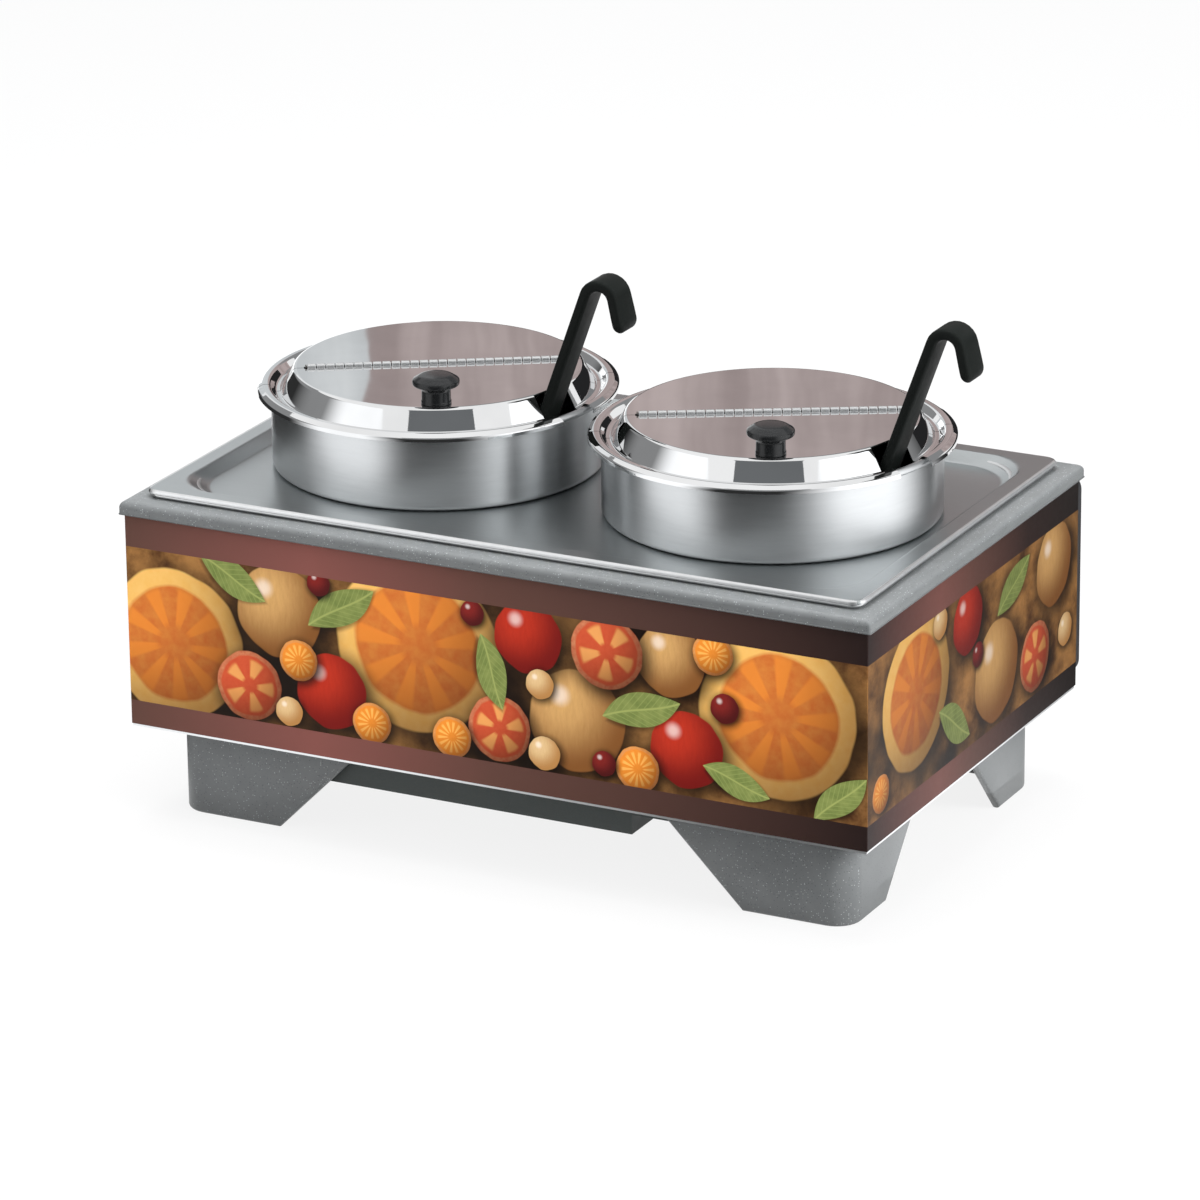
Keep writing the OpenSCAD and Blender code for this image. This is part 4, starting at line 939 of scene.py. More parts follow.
def make_rim():
    """Mitred rim: upright face, rounded edge and a slope up to the land under the plate."""
    half_w, half_d = RIM_HIGH.x - RIM_TRIM, RIM_HIGH.y - RIM_TRIM
    low, high = RIM_LOW.z, RIM_HIGH.z
    inner = half_w - (WELL_HIGH.x - RIM_LAND)
    ledge = RIM_LEDGE / 2
    section = filleted((
        (inner, low, 0), (-ledge, low, 0.2), (-ledge, low + RIM_FOOT, 0.2),
        (ledge, low + RIM_FOOT + RIM_LEDGE, 0.3), (ledge, low + RIM_FACE, RIM_EDGE_R),
        (RIM_BORDER, high, 3.0), (inner, high, 1.5),
    ), closed=True)
    levels = []
    for inset, height in section:
        share = min(1.0, max(0.0, (inset - RIM_BORDER) / (inner - RIM_BORDER)))
        levels.append((half_w - inset, half_d - inset, RIM_CORNER + share * OPENING_R, height))
    bm, _ = loft(levels, True, 8)
    return place(new_object("rim_moulding", bm), RESIN, "base", "resin", "rim")


def make_casing():
    """Upper walls behind the skirt, with the inward shoulder."""
    half_w, half_d = CASING_HIGH.x, CASING_HIGH.y
    low, high = CASING_LOW.z, CASING_HIGH.z
    shelf = low + CASING_WALL
    outer = (half_w, half_d, CASING_CORNER)
    inner = (half_w - CASING_WALL, half_d - CASING_WALL, CASING_CORNER)
    shoulder = (LEG_HIGH.x - LEG_WALL, LEG_HIGH.y - LEG_WALL, LEG_CORNER - LEG_WALL)
    bm, _ = loft((
        (*outer, low), (*outer, high), (*inner, high), (*inner, shelf), (*shoulder, shelf), (*shoulder, low),
    ))
    return place(new_object("casing_walls", bm), RESIN, "base", "resin", *CASING_NODES)


def leg_point(sx, sy, height, share, inset):
    """A point on a leg's wall.

    The share runs 0..1 along the front, 1..2 round the corner and 2..3 along the side.
    """
    half_w, half_d = LEG_HIGH.x, LEG_HIGH.y
    radius = LEG_CORNER
    if share <= 1:
        start = half_w - LEG_FOOT_W - height
        x = start + (half_w - radius - start) * share
        y = half_d - inset
    elif share <= 2:
        angle = math.radians(90 * (2 - share))
        x = half_w - radius + (radius - inset) * math.cos(angle)
        y = half_d - radius + (radius - inset) * math.sin(angle)
    else:
        end = half_d - LEG_FOOT_D - height * LEG_SIDE_SLOPE
        x = half_w - inset
        y = half_d - radius + (end - half_d + radius) * (share - 2)
    return Vector((sx * x, sy * y, height))


def make_legs():
    """Four angled corner legs under a shallow ring."""
    low, high = LEG_LOW.z, LEG_HIGH.z
    window_top = high - LEG_RING
    outer = (LEG_HIGH.x, LEG_HIGH.y, LEG_CORNER)
    inner = tuple(size - LEG_WALL for size in outer)
    ring, _ = loft(((*outer, window_top), (*outer, high), (*inner, high), (*inner, window_top)))
    shares = [0, 0.5] + [1 + k / 8 for k in range(9)] + [2.5, 3]
    legs = []
    for sx in (-1, 1):
        for sy in (-1, 1):
            bm = bmesh.new()
            rows = []
            for height, inset in ((low, 0), (window_top, 0), (window_top, LEG_WALL), (low, LEG_WALL)):
                rows.append([bm.verts.new(leg_point(sx, sy, height, s, inset)) for s in shares])
            bridge(bm, rows, True, False)
            end_caps(bm, rows)
            legs.append(bm)
    obj = new_object("legs", joined(*legs))
    rounded_edges(obj, LEG_EDGE_R, 3, LEG_EDGE_ANGLE)
    legs_mesh = copied_mesh(obj.data)
    bpy.data.objects.remove(obj, do_unlink=True)
    whole = new_object("leg_mouldings", joined(legs_mesh, ring))
    return place(whole, RESIN, "base", "resin", "leg_frame")


# Well and plate

PLATE_T = 1.0
PLATE_CORNER = 9.0
RECESS_CORNER = 40.0
FLANGE_FLAT = 13.0
FLANGE_END = 20.0
LIP_W = 2.2
PLATE_LIP = 2.5
HOLE_R = 106.4
HOLE_STEPS = 128
WELL_CORNER = 8.0
WELL_OPEN_CORNER = 41.0
WELL_T = 0.9
WELL_LIP = 2.9
WELL_OPEN_IN = 14.5
WELL_STEP_IN = 24.5
WELL_STEP_DROP = 20.0


def flange_levels(section, half_w, half_d, first_r, last_r, turn_in):
    """Loft levels from (inset, height) points; the corner radius grows towards the recess."""
    levels = []
    for inset, height in section:
        share = min(1.0, inset / turn_in)
        share = share * share * (3 - 2 * share)
        levels.append((half_w - inset, half_d - inset, first_r + (last_r - first_r) * share, height))
    return levels


def holed_floor(bm, edge_row, centres, radius, height):
    """Fills a flat floor inside a loop, leaving round holes."""
    edges = []
    loops = [edge_row]
    for x in centres:
        ring = []
        for k in range(HOLE_STEPS):
            angle = 2 * math.pi * k / HOLE_STEPS
            ring.append(bm.verts.new((x + radius * math.cos(angle), radius * math.sin(angle), height)))
        loops.append(ring)
    for loop in loops:
        for k, vert in enumerate(loop):
            other = loop[(k + 1) % len(loop)]
            edges.append(bm.edges.get((vert, other)) or bm.edges.new((vert, other)))
    bmesh.ops.triangle_fill(bm, edges=edges, use_beauty=True, use_dissolve=False)


def make_plate():
    """Stainless plate: turned lip, flange, drawn recess and two holes."""
    top = PLATE_HIGH.z
    floor = PLATE_LOW.z + PLATE_T
    section = filleted((
        (0, top - PLATE_LIP, 0), (0, top, 1.6), (FLANGE_FLAT, top, 2.6), (FLANGE_END, floor, 3.4),
        (FLANGE_END + 9, floor, 0),
    ), steps=6)
    levels = flange_levels(section, PLATE_HIGH.x, PLATE_HIGH.y, PLATE_CORNER, RECESS_CORNER, FLANGE_END)
    bm, rows = loft(levels, False, 12)
    centres = [inset_sizes(side)[0].x for side in SIDES]
    holed_floor(bm, rows[-1], centres, HOLE_R, floor)
    obj = walled(new_object("plate_sheet", bm), PLATE_T)
    obj.data.set_sharp_from_angle(angle=math.radians(SHARP_FROM))
    edge = PLATE_HIGH - Vector((LIP_W, LIP_W, 0))
    # Faces on the lip take the paler steel: a painted highlight along the plate's edge
    for face in obj.data.polygons:
        beyond = abs(face.center.x) > edge.x * MM or abs(face.center.y) > edge.y * MM
        face.material_index = 1 if beyond else 0
    return place(obj, [STEEL_PLATE, STEEL_LIP_HIGHLIGHT], "plate", "steel_brushed", "adapter_plate")


def make_well():
    """Deep drawn well with a flange, a step and rounded floor edges."""
    top = WELL_HIGH.z
    floor = WELL_LOW.z + WELL_T
    section = filleted((
        (0, top - WELL_LIP, 0), (0, top, 1.5), (WELL_OPEN_IN, top, 2.5),
        (WELL_OPEN_IN, top - WELL_STEP_DROP, 3.0), (WELL_STEP_IN, top - WELL_STEP_DROP, 3.0),
        (WELL_STEP_IN, floor, 10.0), (WELL_STEP_IN + 16, floor, 0),
    ), steps=5)
    levels = flange_levels(
        section, WELL_HIGH.x, WELL_HIGH.y, WELL_CORNER, WELL_OPEN_CORNER, WELL_OPEN_IN)
    bm, rows = loft(levels, False, 12)
    bm.faces.new(rows[-1])
    obj = walled(new_object("well_sheet", bm), WELL_T)
    return place(obj, STEEL_BRIGHT, "base", "steel_brushed", "well_liner")


# Insets, covers, knobs and hinges

COLLAR_STEP = 7.5
BEAD_R = 2.6
BEAD_IN = 0.6
BEAD_FROM, BEAD_SWEEP = -150, 330
BEAD_STEPS = 20
POT_T = 1.0
POT_SEAT = 0.3
COVER_SPLIT = 0.6
COVER_T = 1.0
BRIM_OUT = 9.0
FLAT_IN = 16.0
GROOVE_IN = 4.5
FLAT_RISE = 12.0
HUMP_RISE = 1.4
HUMP_H = 5.0
HINGE_UP = 0.6
HINGE_SLOT = 4.6
HINGE_CLEAR = 2.0
KNUCKLES = 28
KNUCKLE_R = 2.05
KNUCKLE_BORE = 0.8
LEAF_IN = 1.2
LEAF_OUT = 2.9
LEAF_LOW = -0.9
LEAF_HIGH = 0.1
KNUCKLE_GAP = 0.6
HINGE_END = 8.5
NOTCH_W = 32.0
NOTCH_ANGLE = 43.0
NOTCH_BACK = 1.5
KNOB_IN = 11.5
KNOB_H = 20.0
KNOB_SIDE = 6.0
KNOB_SEAT = 0.1


def inset_sizes(side):
    """Middle, collar radius, bead top and bottom of an inset."""
    low, high = INSET_BOX[side]
    middle = Vector(((low.x + high.x) / 2, (low.y + high.y) / 2, 0))
    collar_r = (high.x - low.x) / 2 - 2 * BEAD_R + BEAD_IN
    return middle, collar_r, high.z, low.z


def make_inset(side):
    """Turned inset: stepped body, straight collar and a rolled bead."""
    middle, collar_r, top, bottom = inset_sizes(side)
    body_r = collar_r - COLLAR_STEP
    shoulder = PLATE_LOW.z + PLATE_T + POT_SEAT
    bead_z = top - BEAD_R
    outside = filleted((
        (0, bottom, 0), (body_r, bottom, 12.0), (body_r, shoulder, 1.5), (collar_r, shoulder, 4.0),
        (collar_r, bead_z - 3, 0),
    ), steps=6)
    bead_at = Vector((collar_r + BEAD_R - BEAD_IN, bead_z))
    bead = []
    for k in range(BEAD_STEPS + 1):
        bead.append(bead_at + polar(BEAD_R, BEAD_FROM + BEAD_SWEEP * k / BEAD_STEPS))
    inside_r, step_r = collar_r - POT_T, body_r - POT_T
    ledge, floor = shoulder + POT_T, bottom + POT_T
    inside = filleted((
        (inside_r, bead_z, 0), (inside_r, ledge, 3.0), (step_r, ledge, 1.0), (step_r, floor, 11.0),
        (0, floor, 0),
    ), steps=6)
    bm = moved(lathe(outside + bead + inside, 160), Matrix.Translation(middle))
    obj = new_object("inset_bowl_" + side, bm)
    return place(obj, STEEL_TURNED, side + "_inset", "steel_brushed", "inset_" + side)


def cover_matrix(side):
    """Place of a cover: its inset's middle, turned so that the hinge runs along X."""
    middle = inset_sizes(side)[0]
    axis = JOINTS[side + "_flap_hinge"]["axis"]
    turn = math.atan2(-axis[1], -axis[0])
    return Matrix.Translation(middle) @ Matrix.Rotation(turn, 4, "Z")


def cover_flat(side):
    """Radius and height of a cover's flat top."""
    _, collar_r, bead_top, _ = inset_sizes(side)
    return collar_r - FLAT_IN, bead_top + FLAT_RISE


def cover_section(side):
    """Section of a cover's sheet from the middle to its brim."""
    _, collar_r, bead_top, _ = inset_sizes(side)
    flat_r, flat_z = cover_flat(side)
    hump_z = bead_top + HUMP_RISE
    groove_z = hump_z - HUMP_H
    groove_r = collar_r - GROOVE_IN
    brim_r = collar_r + BRIM_OUT
    path = filleted((
        (0, flat_z, 0), (flat_r + 0.4, flat_z, 3.2), (groove_r - 2.0, groove_z, 1.6),
        (groove_r + 1.2, groove_z, 1.6), (groove_r + 5.2, hump_z, 2.6), (groove_r + 9.5, hump_z, 3.0),
        (brim_r, hump_z - 2.2, 2.0), (brim_r, hump_z - HUMP_H, 0),
    ), steps=6)
    return thickened(path, COVER_T)


def knuckle_mesh(length):
    """One hinge knuckle along X with eased ends."""
    section = filleted((
        (KNUCKLE_BORE, 0, 0), (KNUCKLE_R, 0, 0.5), (KNUCKLE_R, length, 0.5), (KNUCKLE_BORE, length, 0),
    ), steps=3, closed=True, support=0.05)
    bm = lathe(section, 24)
    return moved(bm, Matrix.Rotation(math.radians(90), 4, "Y"))


def make_cover_half(side, part):
    """Rear half or front flap of a cover with its own knuckles."""
    rear = part == "rear"
    flat_r, flat_z = cover_flat(side)
    hinge_half = flat_r - HINGE_END
    matrix = cover_matrix(side)
    bm = lathe(cover_section(side), 96, 0 if rear else 180, 180 if rear else 360)
    sheet = new_object(f"cover_{part}_sheet_{side}", moved(bm, matrix))
    wide = 2 * flat_r
    slot = Vector((hinge_half + HINGE_CLEAR, HINGE_SLOT / 2, 0))
    tools = [
        box_mesh((-wide, -COVER_SPLIT / 2, 0), (wide, COVER_SPLIT / 2, 2 * flat_z)),
        box_mesh(Vector((0, 0, flat_z - HINGE_CLEAR)) - slot, Vector((0, 0, flat_z + 1)) + slot),
    ]
    if not rear:
        notch = box_mesh((flat_r - NOTCH_BACK, -NOTCH_W / 2, 0), (wide, NOTCH_W / 2, flat_z + 1))
        tools.append(moved(notch, Matrix.Rotation(math.radians(-NOTCH_ANGLE), 4, "Z")))
    cut(sheet, *[moved(tool, matrix) for tool in tools])
    pitch = 2 * hinge_half / KNUCKLES
    template = new_object("knuckle", knuckle_mesh(pitch - KNUCKLE_GAP))
    first = 0 if rear else 1
    along = matrix.to_3x3() @ Vector((1, 0, 0))
    start = matrix @ Vector((-hinge_half + first * pitch + KNUCKLE_GAP / 2, 0, flat_z + HINGE_UP))
    row = repeated(
        f"hinge_knuckles_{part}_{side}", template, Count=KNUCKLES // 2, Start=start * MM,
        Step=along * 2 * pitch * MM, Turn=(0.0, 0.0, math.atan2(along.y, along.x)), Finish=STEEL_BRIGHT)
    body = side + ("_cover" if rear else "_flap")
    near, far = (LEAF_IN, LEAF_OUT) if rear else (-LEAF_OUT, -LEAF_IN)
    leaf = box_mesh((-hinge_half, near, flat_z + LEAF_LOW), (hinge_half, far, flat_z + LEAF_HIGH))
    strip = new_object(f"hinge_leaf_{part}_{side}", moved(leaf, matrix))
    place(rounded_edges(strip, 0.2, 2), STEEL_POLISHED, body, "steel_polished")
    place(row, STEEL_BRIGHT, body, "steel_polished")
    return place(sheet, STEEL_POLISHED, body, "steel_polished", f"cover_{part}_{side}")


def make_knob(side):
    """Turned black knob: foot, waist and a domed head."""
    flat_r, flat_z = cover_flat(side)
    section = filleted((
        (0, 0, 0), (10.0, 0, 0.4), (10.0, 1.6, 0.4), (9.7, 2.2, 0.6), (9.6, 9.0, 2.4), (11.6, 11.4, 1.6),
        (15.6, 12.6, 1.8), (15.6, 16.0, 1.9), (10.4, KNOB_H - 0.7, 6.0), (0, KNOB_H, 0),
    ), steps=5)
    foot = Vector((-KNOB_SIDE, -(flat_r - KNOB_IN), flat_z + KNOB_SEAT))
    bm = moved(lathe(section, 72), cover_matrix(side) @ Matrix.Translation(foot))
    obj = new_object("knob_" + side, bm)
    return place(obj, BLACK_GLOSS, side + "_flap", "black_plastic", "cover_knob_" + side)


# Ladles

LADLE_IN = 16.0
LADLE_SIDE = 0.25
LADLE_UP = 1.0
GRIP_W = 23.5
GRIP_T = 7.4
GRIP_LOW = -25.0
GRIP_UP = 93.0
BEND_R = 10.5
BEND_ANGLE = 147.0
HOOK_LEN = 20.0
HOOK_TIP = 6.0
HOOK_SWELL = 1.04
GRIP_FOOT = 2.0
GRIP_EDGE_R = 2.4
STRIP_W = 15.0
STRIP_T = 2.0
BOWL_R = 38.0
BOWL_T = 1.2
BOWL_STEPS = 24


def ladle_matrix(side):
    """Place of a ladle, leaning along its slide."""
    middle, collar_r, bead_top, _ = inset_sizes(side)
    axis = Vector(JOINTS[side + "_ladle_slide"]["axis"])
    lean = math.atan2(axis.x, axis.z)
    x = collar_r - LADLE_IN
    foot = middle + Vector((x, -x * LADLE_SIDE, bead_top - BEAD_R + LADLE_UP))
    return Matrix.Translation(foot) @ Matrix.Rotation(lean, 4, "Y")


def grip_stations():
    """Points along the grip as (x, z, direction in degrees, width share, thickness share)."""
    stations = []
    for k in range(4):
        stations.append((0, GRIP_LOW + GRIP_FOOT * k / 4, 90, 0.93 + 0.02 * k, 0.80 + 0.06 * k))
    straight = GRIP_UP - GRIP_LOW - GRIP_FOOT
    for share in even_shares(12):
        stations.append((0, GRIP_LOW + GRIP_FOOT + straight * share, 90, 0.99, 0.98))
    for share in even_shares(10):
        turn = BEND_ANGLE * share
        bend = Vector((BEND_R, GRIP_UP)) + polar(BEND_R, 180 - turn)
        stations.append((*bend, 90 - turn, 1.0, 1.0))
    heading = 90 - BEND_ANGLE
    run = polar(1, heading)
    hook = HOOK_LEN - HOOK_TIP / 2
    for share in even_shares(6):
        at = bend + run * hook * share
        stations.append((*at, heading, min(1.0 + 0.06 * share, HOOK_SWELL), 1.0))
    for share in even_shares(7):
        at = bend + run * (hook + HOOK_TIP * math.sin(math.radians(90 * share)))
        tip = math.cos(math.radians(86 * share))
        stations.append((*at, heading, HOOK_SWELL * (0.55 + 0.45 * tip), max(tip, 0.10)))
    return stations


def make_grip(side):
    """Flat rubbery sleeve bent over into a hook, with rounded edges and tip."""
    bm = bmesh.new()
    rows = []
    for x, z, heading, wide, thick in grip_stations():
        out = Vector((math.sin(math.radians(heading)), 0, -math.cos(math.radians(heading))))
        half_t = GRIP_T / 2 * thick
        loop = rounded_loop(GRIP_W / 2 * wide, half_t, min(GRIP_EDGE_R, half_t * 0.9), 5)
        row = []
        for point in loop:
            row.append(bm.verts.new(Vector((x, 0, z)) + out * point.y + Vector((0, point.x, 0))))
        rows.append(row)
    bridge(bm, rows)
    bm.faces.new(rows[0][::-1])
    bm.faces.new(rows[-1])
    obj = new_object("ladle_sleeve_" + side, moved(bm, ladle_matrix(side)), 60)
    return place(obj, BLACK_SATIN, side + "_ladle", "black_satin", "ladle_grip_" + side)


def make_ladle(side):
    """Steel strip with a spun bowl at its foot."""
    low, _ = node_box("ladle_" + side)
    matrix = ladle_matrix(side)
    lean = matrix.to_euler().y
    bowl_x = BOWL_R - 0.5
    drop = (matrix.translation.z + bowl_x * math.sin(lean) - BOWL_R - low.z) / math.cos(lean)
    section = []
    for radius, first, sweep in ((BOWL_R, -90, 90), (BOWL_R - BOWL_T, 0, -90)):
        for k in range(BOWL_STEPS + 1):
            section.append(polar(radius, first + sweep * k / BOWL_STEPS))
    bowl = moved(lathe(section, 72), Matrix.Translation((-bowl_x, 0, -drop)))
    strip, _ = loft((
        (STRIP_T / 2, STRIP_W / 2, 0.6, -drop - STRIP_W / 2), (STRIP_T / 2, STRIP_W / 2, 0.6, GRIP_UP - 8),
    ), False, 3)
    obj = new_object("ladle_steel_" + side, moved(joined(bowl, strip), matrix))
    return place(obj, STEEL_BRIGHT, side + "_ladle", "steel_brushed", "ladle_" + side)


# Printed film on the skirt

FILM_EASE = 0.25


def make_film(node, across, outward, materials):
    """One printed sheet: its sections carry UVs in metres along and up the sheet."""
    low, high = node_box(node)
    bm = bmesh.new()
    uv = bm.loops.layers.uv.new("Film")
    length = (high - low)[across]
    thick = 1 - across
    outer = high[thick] if outward > 0 else low[thick]
    inner = low[thick] if outward > 0 else high[thick]
    step = FILM_EASE * outward
    flip = (across == 0) == (outward > 0)
    count = len(materials)
    shares = [k / count for k in range(count + 1)]
    places = [(share, 0) for share in shares] + [(share, 1) for share in shares[::-1]]
    rows = []
    for depth, margin in ((inner, 0.0), (outer - step, 0.0), (outer, FILM_EASE)):
        row = []
        for share, rise in places:
            point = Vector((0, 0, 0))
            along = low[across] + margin + (length - 2 * margin) * share
            point[across] = high[across] + low[across] - along if flip else along
            point[thick] = depth
            point.z = low.z + margin + (high.z - low.z - 2 * margin) * rise
            row.append(bm.verts.new(point))
        rows.append(row)
    bridge(bm, rows)
    for row in (rows[0], rows[-1]):
        for k in range(count):
            bm.faces.new((row[k], row[k + 1], row[-k - 2], row[-k - 1]))
    for face in bm.faces:
        middle = face.calc_center_median()[across] - low[across]
        middle = length - middle if flip else middle
        face.material_index = min(count - 1, int(middle / length * count))
        for loop in face.loops:
            along = loop.vert.co[across] - low[across]
            loop[uv].uv = ((length - along if flip else along) * MM, (loop.vert.co.z - low.z) * MM)
    obj = new_object(node + "_film", bm)
    return place(obj, materials, "base", "print_film", node)


# Rear controls

MARK_COUNT = 10
MARK_RING_R = 27.0
MARK_LONG = 4.0
MARK_SWEEP = 270
MARK_W = 1.0
MARK_RAISED = 0.12
POINTER_W = 1.4
POINTER_FROM, POINTER_TO = 11.0, 3.0
SCREW_R = 3.6
SCREW_H = 2.0
SCREW_SLOT = 0.35
SCREW_ARM = 1.9


def make_dial_marks():
    """Printed marks round the dial's cup on the rear panel."""
    low, high = node_box("thermostat_dial")
    middle = Vector(((low.x + high.x) / 2, PANEL_HIGH.y, (low.z + high.z) / 2))
    mark = box_mesh((-MARK_W / 2, 0.0, MARK_RING_R), (MARK_W / 2, MARK_RAISED, MARK_RING_R + MARK_LONG))
    ring = repeated(
        "dial_marks", new_object("mark", mark), Count=MARK_COUNT, Start=middle * MM, Step=(0.0, 0.0, 0.0),
        Turn=(0.0, math.radians(-MARK_SWEEP / 2), 0.0),
        Twist=(0.0, math.radians(MARK_SWEEP / (MARK_COUNT - 1)), 0.0), Finish=MARK_WHITE)
    return place(ring, MARK_WHITE, "base", "black_paint")


def make_dial_pointer():
    """White line on the dial's grip."""
    low, high = node_box("thermostat_dial")
    x = (low.x + high.x) / 2
    line = box_mesh(
        (x - POINTER_W / 2, high.y - 0.05, high.z - POINTER_FROM),
        (x + POINTER_W / 2, high.y + 0.1, high.z - POINTER_TO))
    return place(new_object("dial_pointer", line), MARK_WHITE, "dial", "black_plastic")


def screw_head():
    """Domed screw head with a cross recess, facing +Y."""
    section = filleted(
        ((0, 0, 0), (SCREW_R, 0, 0), (SCREW_R, 0.9, 0.5), (1.8, 1.9, 1.6), (0, SCREW_H, 0)), steps=4)
    head = new_object("screw", lathe(section, 32))
    slots = []
    for x, y in ((SCREW_ARM, SCREW_SLOT), (SCREW_SLOT, SCREW_ARM)):
        slots.append(box_mesh((-x, -y, 1.0), (x, y, 3)))
    cut(head, *slots)
    head.data.transform(Matrix.Rotation(math.radians(-90), 4, "X"))
    return head


def make_panel_screws():
    """Two rows of three screws on the rear panel."""
    low, high = node_box("panel_screws")
    step = (high.x - low.x - 2 * SCREW_R) / 2
    for name, z in (("upper", high.z - SCREW_R), ("lower", low.z + SCREW_R)):
        start = Vector((low.x + SCREW_R, high.y - SCREW_H, z))
        row = repeated(
            "panel_screws_" + name, screw_head(), Count=3, Start=start * MM, Step=(step * MM, 0.0, 0.0),
            Turn=(0.0, 0.0, 0.0), Finish=ZINC)
        place(row, ZINC, "base", "zinc", *(("panel_screws",) if name == "upper" else ()))


make_rim()
make_casing()
make_legs()
make_well()
make_plate()
for side_name in SIDES:
    make_inset(side_name)
    make_cover_half(side_name, "rear")
    make_cover_half(side_name, "flap")
    make_knob(side_name)
    make_ladle(side_name)
    make_grip(side_name)

SIDE_LOW, SIDE_HIGH = node_box("right_graphic")
FRONT_LENGTH = FILM_HIGH.x - FILM_LOW.x
SIDE_LENGTH = SIDE_HIGH.y - SIDE_LOW.y
FRONT_FILM = print_sections("print_front", FRONT_LENGTH, FRONT_MOTIFS, 0.0, 4, FRONT_TONES, FRONT_INK)
RIGHT_FILM = print_sections("print_right", SIDE_LENGTH, SIDE_MOTIFS, 3.0, 2, SIDE_TONES, SIDE_INK)
LEFT_FILM = print_sections("print_left", SIDE_LENGTH, SIDE_MOTIFS[::-1], 7.0, 2, LEFT_TONES, SIDE_INK)
make_film("front_graphic", 0, -1, FRONT_FILM)
make_film("right_graphic", 1, 1, RIGHT_FILM)
make_film("left_graphic", 1, -1, LEFT_FILM)

# Small solids whose edges are only eased
for node_name, edge_r, finish, body_name, slot_name in (
    ("control_panel", 0.8, BLACK_PAINT, "base", "black_paint"),
    ("bottom_tray", 0.5, CHARCOAL, "base", "charcoal_paint"),
    ("thermostat_dial", 0.6, BLACK_GLOSS, "dial", "black_plastic"),
    ("switch_rocker", 0.5, ROCKER_RED, "rocker", "rocker_red"),
    ("switch_body", 0.4, BLACK_GLOSS, "base", "black_plastic"),
    ("cord_gland", 0.5, BLACK_GLOSS, "base", "black_plastic"),
):
    place(softened(node_name, edge_r), finish, body_name, slot_name, node_name)
make_dial_marks()
make_dial_pointer()
make_panel_screws()

# Nodes that keep their own solids
NODE_FINISHES = {
    "skirt": STEEL_BRIGHT, "insulation": MINERAL, "heater_tube": SHEATH_AND_GAP_SHADE, "heater_straps": ZINC,
    "heater_nuts": ZINC, "tray_screws": ZINC, "terminal_block": CREAM, "lead_wires": WIRE_RED,
    "sensor_bulb": COPPER, "thermostat_body": CREAM, "lamp_body": AMBER, "lamp_nut": BLACK_GLOSS,
    "gland_nut": BLACK_GLOSS, "thermostat_stem": ZINC,
}
for side_name in SIDES:
    # The hinge pins take the dark sheath finish: painted shade in the gaps between the knuckles
    NODE_FINISHES["hinge_pin_" + side_name] = SHEATH_AND_GAP_SHADE
    NODE_FINISHES["knob_screw_" + side_name] = ZINC
for node_name, finish in NODE_FINISHES.items():
    slots = frame["nodes"][node_name].data.materials
    slots.clear()
    slots.append(finish)


# Studio: floor, cards that only reflections see, lamps and world

FLOOR_SIZE = 12
FLOOR_TONE = (0.55, 0.55, 0.55)
FLOOR_GLOW = 0.86
CURTAIN_EDGE, CURTAIN_SOFT = -1.237, 0.003
WHITE = (1.0, 1.0, 1.0)


def stage_piece(name, bm, material):
    """A stage object from a mesh in metres."""
    mesh = bpy.data.meshes.new(name)
    bm.to_mesh(mesh)
    bm.free()
    mesh.materials.append(material)
    obj = scene_object(name, mesh)
    return obj


def stage_plane(name, matrix, width, height, material):
    """A flat stage piece."""
    bm = bmesh.new()
    bmesh.ops.create_grid(bm, x_segments=1, y_segments=1, size=0.5)
    return stage_piece(name, moved(bm, matrix @ Matrix.Diagonal((width, height, 1, 1))), material)


def seen_share(tree):
    """1 for camera, glossy and transmission rays, 0 for light that falls on the object."""
    rays = tree_node(tree, "ShaderNodeLightPath").outputs
    seen = math_node(tree, "MAXIMUM", rays["Is Camera Ray"], rays["Is Glossy Ray"])
    return math_node(tree, "MAXIMUM", seen, rays["Is Transmission Ray"])


def mixed_shader(tree, share, first, second):
    """A mix of two shader nodes."""
    node = tree_node(tree, "ShaderNodeMixShader")
    feed_in_order(tree, node, share, first.outputs[0], second.outputs[0])
    return node.outputs[0]


def bare_material(name):
    """A material with only an output node."""
    material = bpy.data.materials.new(name)
    material.use_nodes = True
    tree = material.node_tree
    tree.nodes.clear()
    return material, tree, tree_node(tree, "ShaderNodeOutputMaterial")


def floor_material():
    """White floor that keeps a light shadow."""
    material, tree, result = bare_material("floor_white")
    matt = tree_node(tree, "ShaderNodeBsdfDiffuse", Color=FLOOR_TONE)
    glow = tree_node(tree, "ShaderNodeEmission", Color=WHITE)
    seen = times(tree, seen_share(tree), FLOOR_GLOW)
    feed_named(tree, result, Surface=mixed_shader(tree, seen, matt, glow))
    return material


def card_material(name, colour):
    """Evenly lit card; also gives its tree and its glow."""
    material, tree, result = bare_material(name)
    glow = tree_node(tree, "ShaderNodeEmission", Color=colour)
    feed_named(tree, result, Surface=glow.outputs[0])
    return material, tree, glow


def curtain_material():
    """Card of two tones with a wavy border and soft upright folds."""
    material, tree, glow = card_material("card_curtain_tones", WHITE)
    where = object_place(tree)
    sway = noise(tree, vector_node(tree, "MULTIPLY", where, (1.0, 1.0, 6.0)), 1.2, 1.0)
    edge = math_node(tree, "MULTIPLY_ADD", sway, 0.12, split_xyz(tree, where)["X"])
    pale_share = smooth_mask(tree, edge, CURTAIN_EDGE, CURTAIN_EDGE + CURTAIN_SOFT)
    folds = noise(tree, vector_node(tree, "MULTIPLY", where, (6.0, 1.0, 0.8)), 2.2, 4.0, 0.6)
    mauve = blended(tree, smooth_mask(tree, folds, 0.34, 0.66), (0.53, 0.445, 0.435), (0.36, 0.295, 0.288))
    pale = blended(tree, smooth_mask(tree, folds, 0.30, 0.70), (0.74, 0.765, 0.775), (0.60, 0.625, 0.64))
    feed_named(tree, glow, Color=blended(tree, pale_share, mauve, pale))
    return material


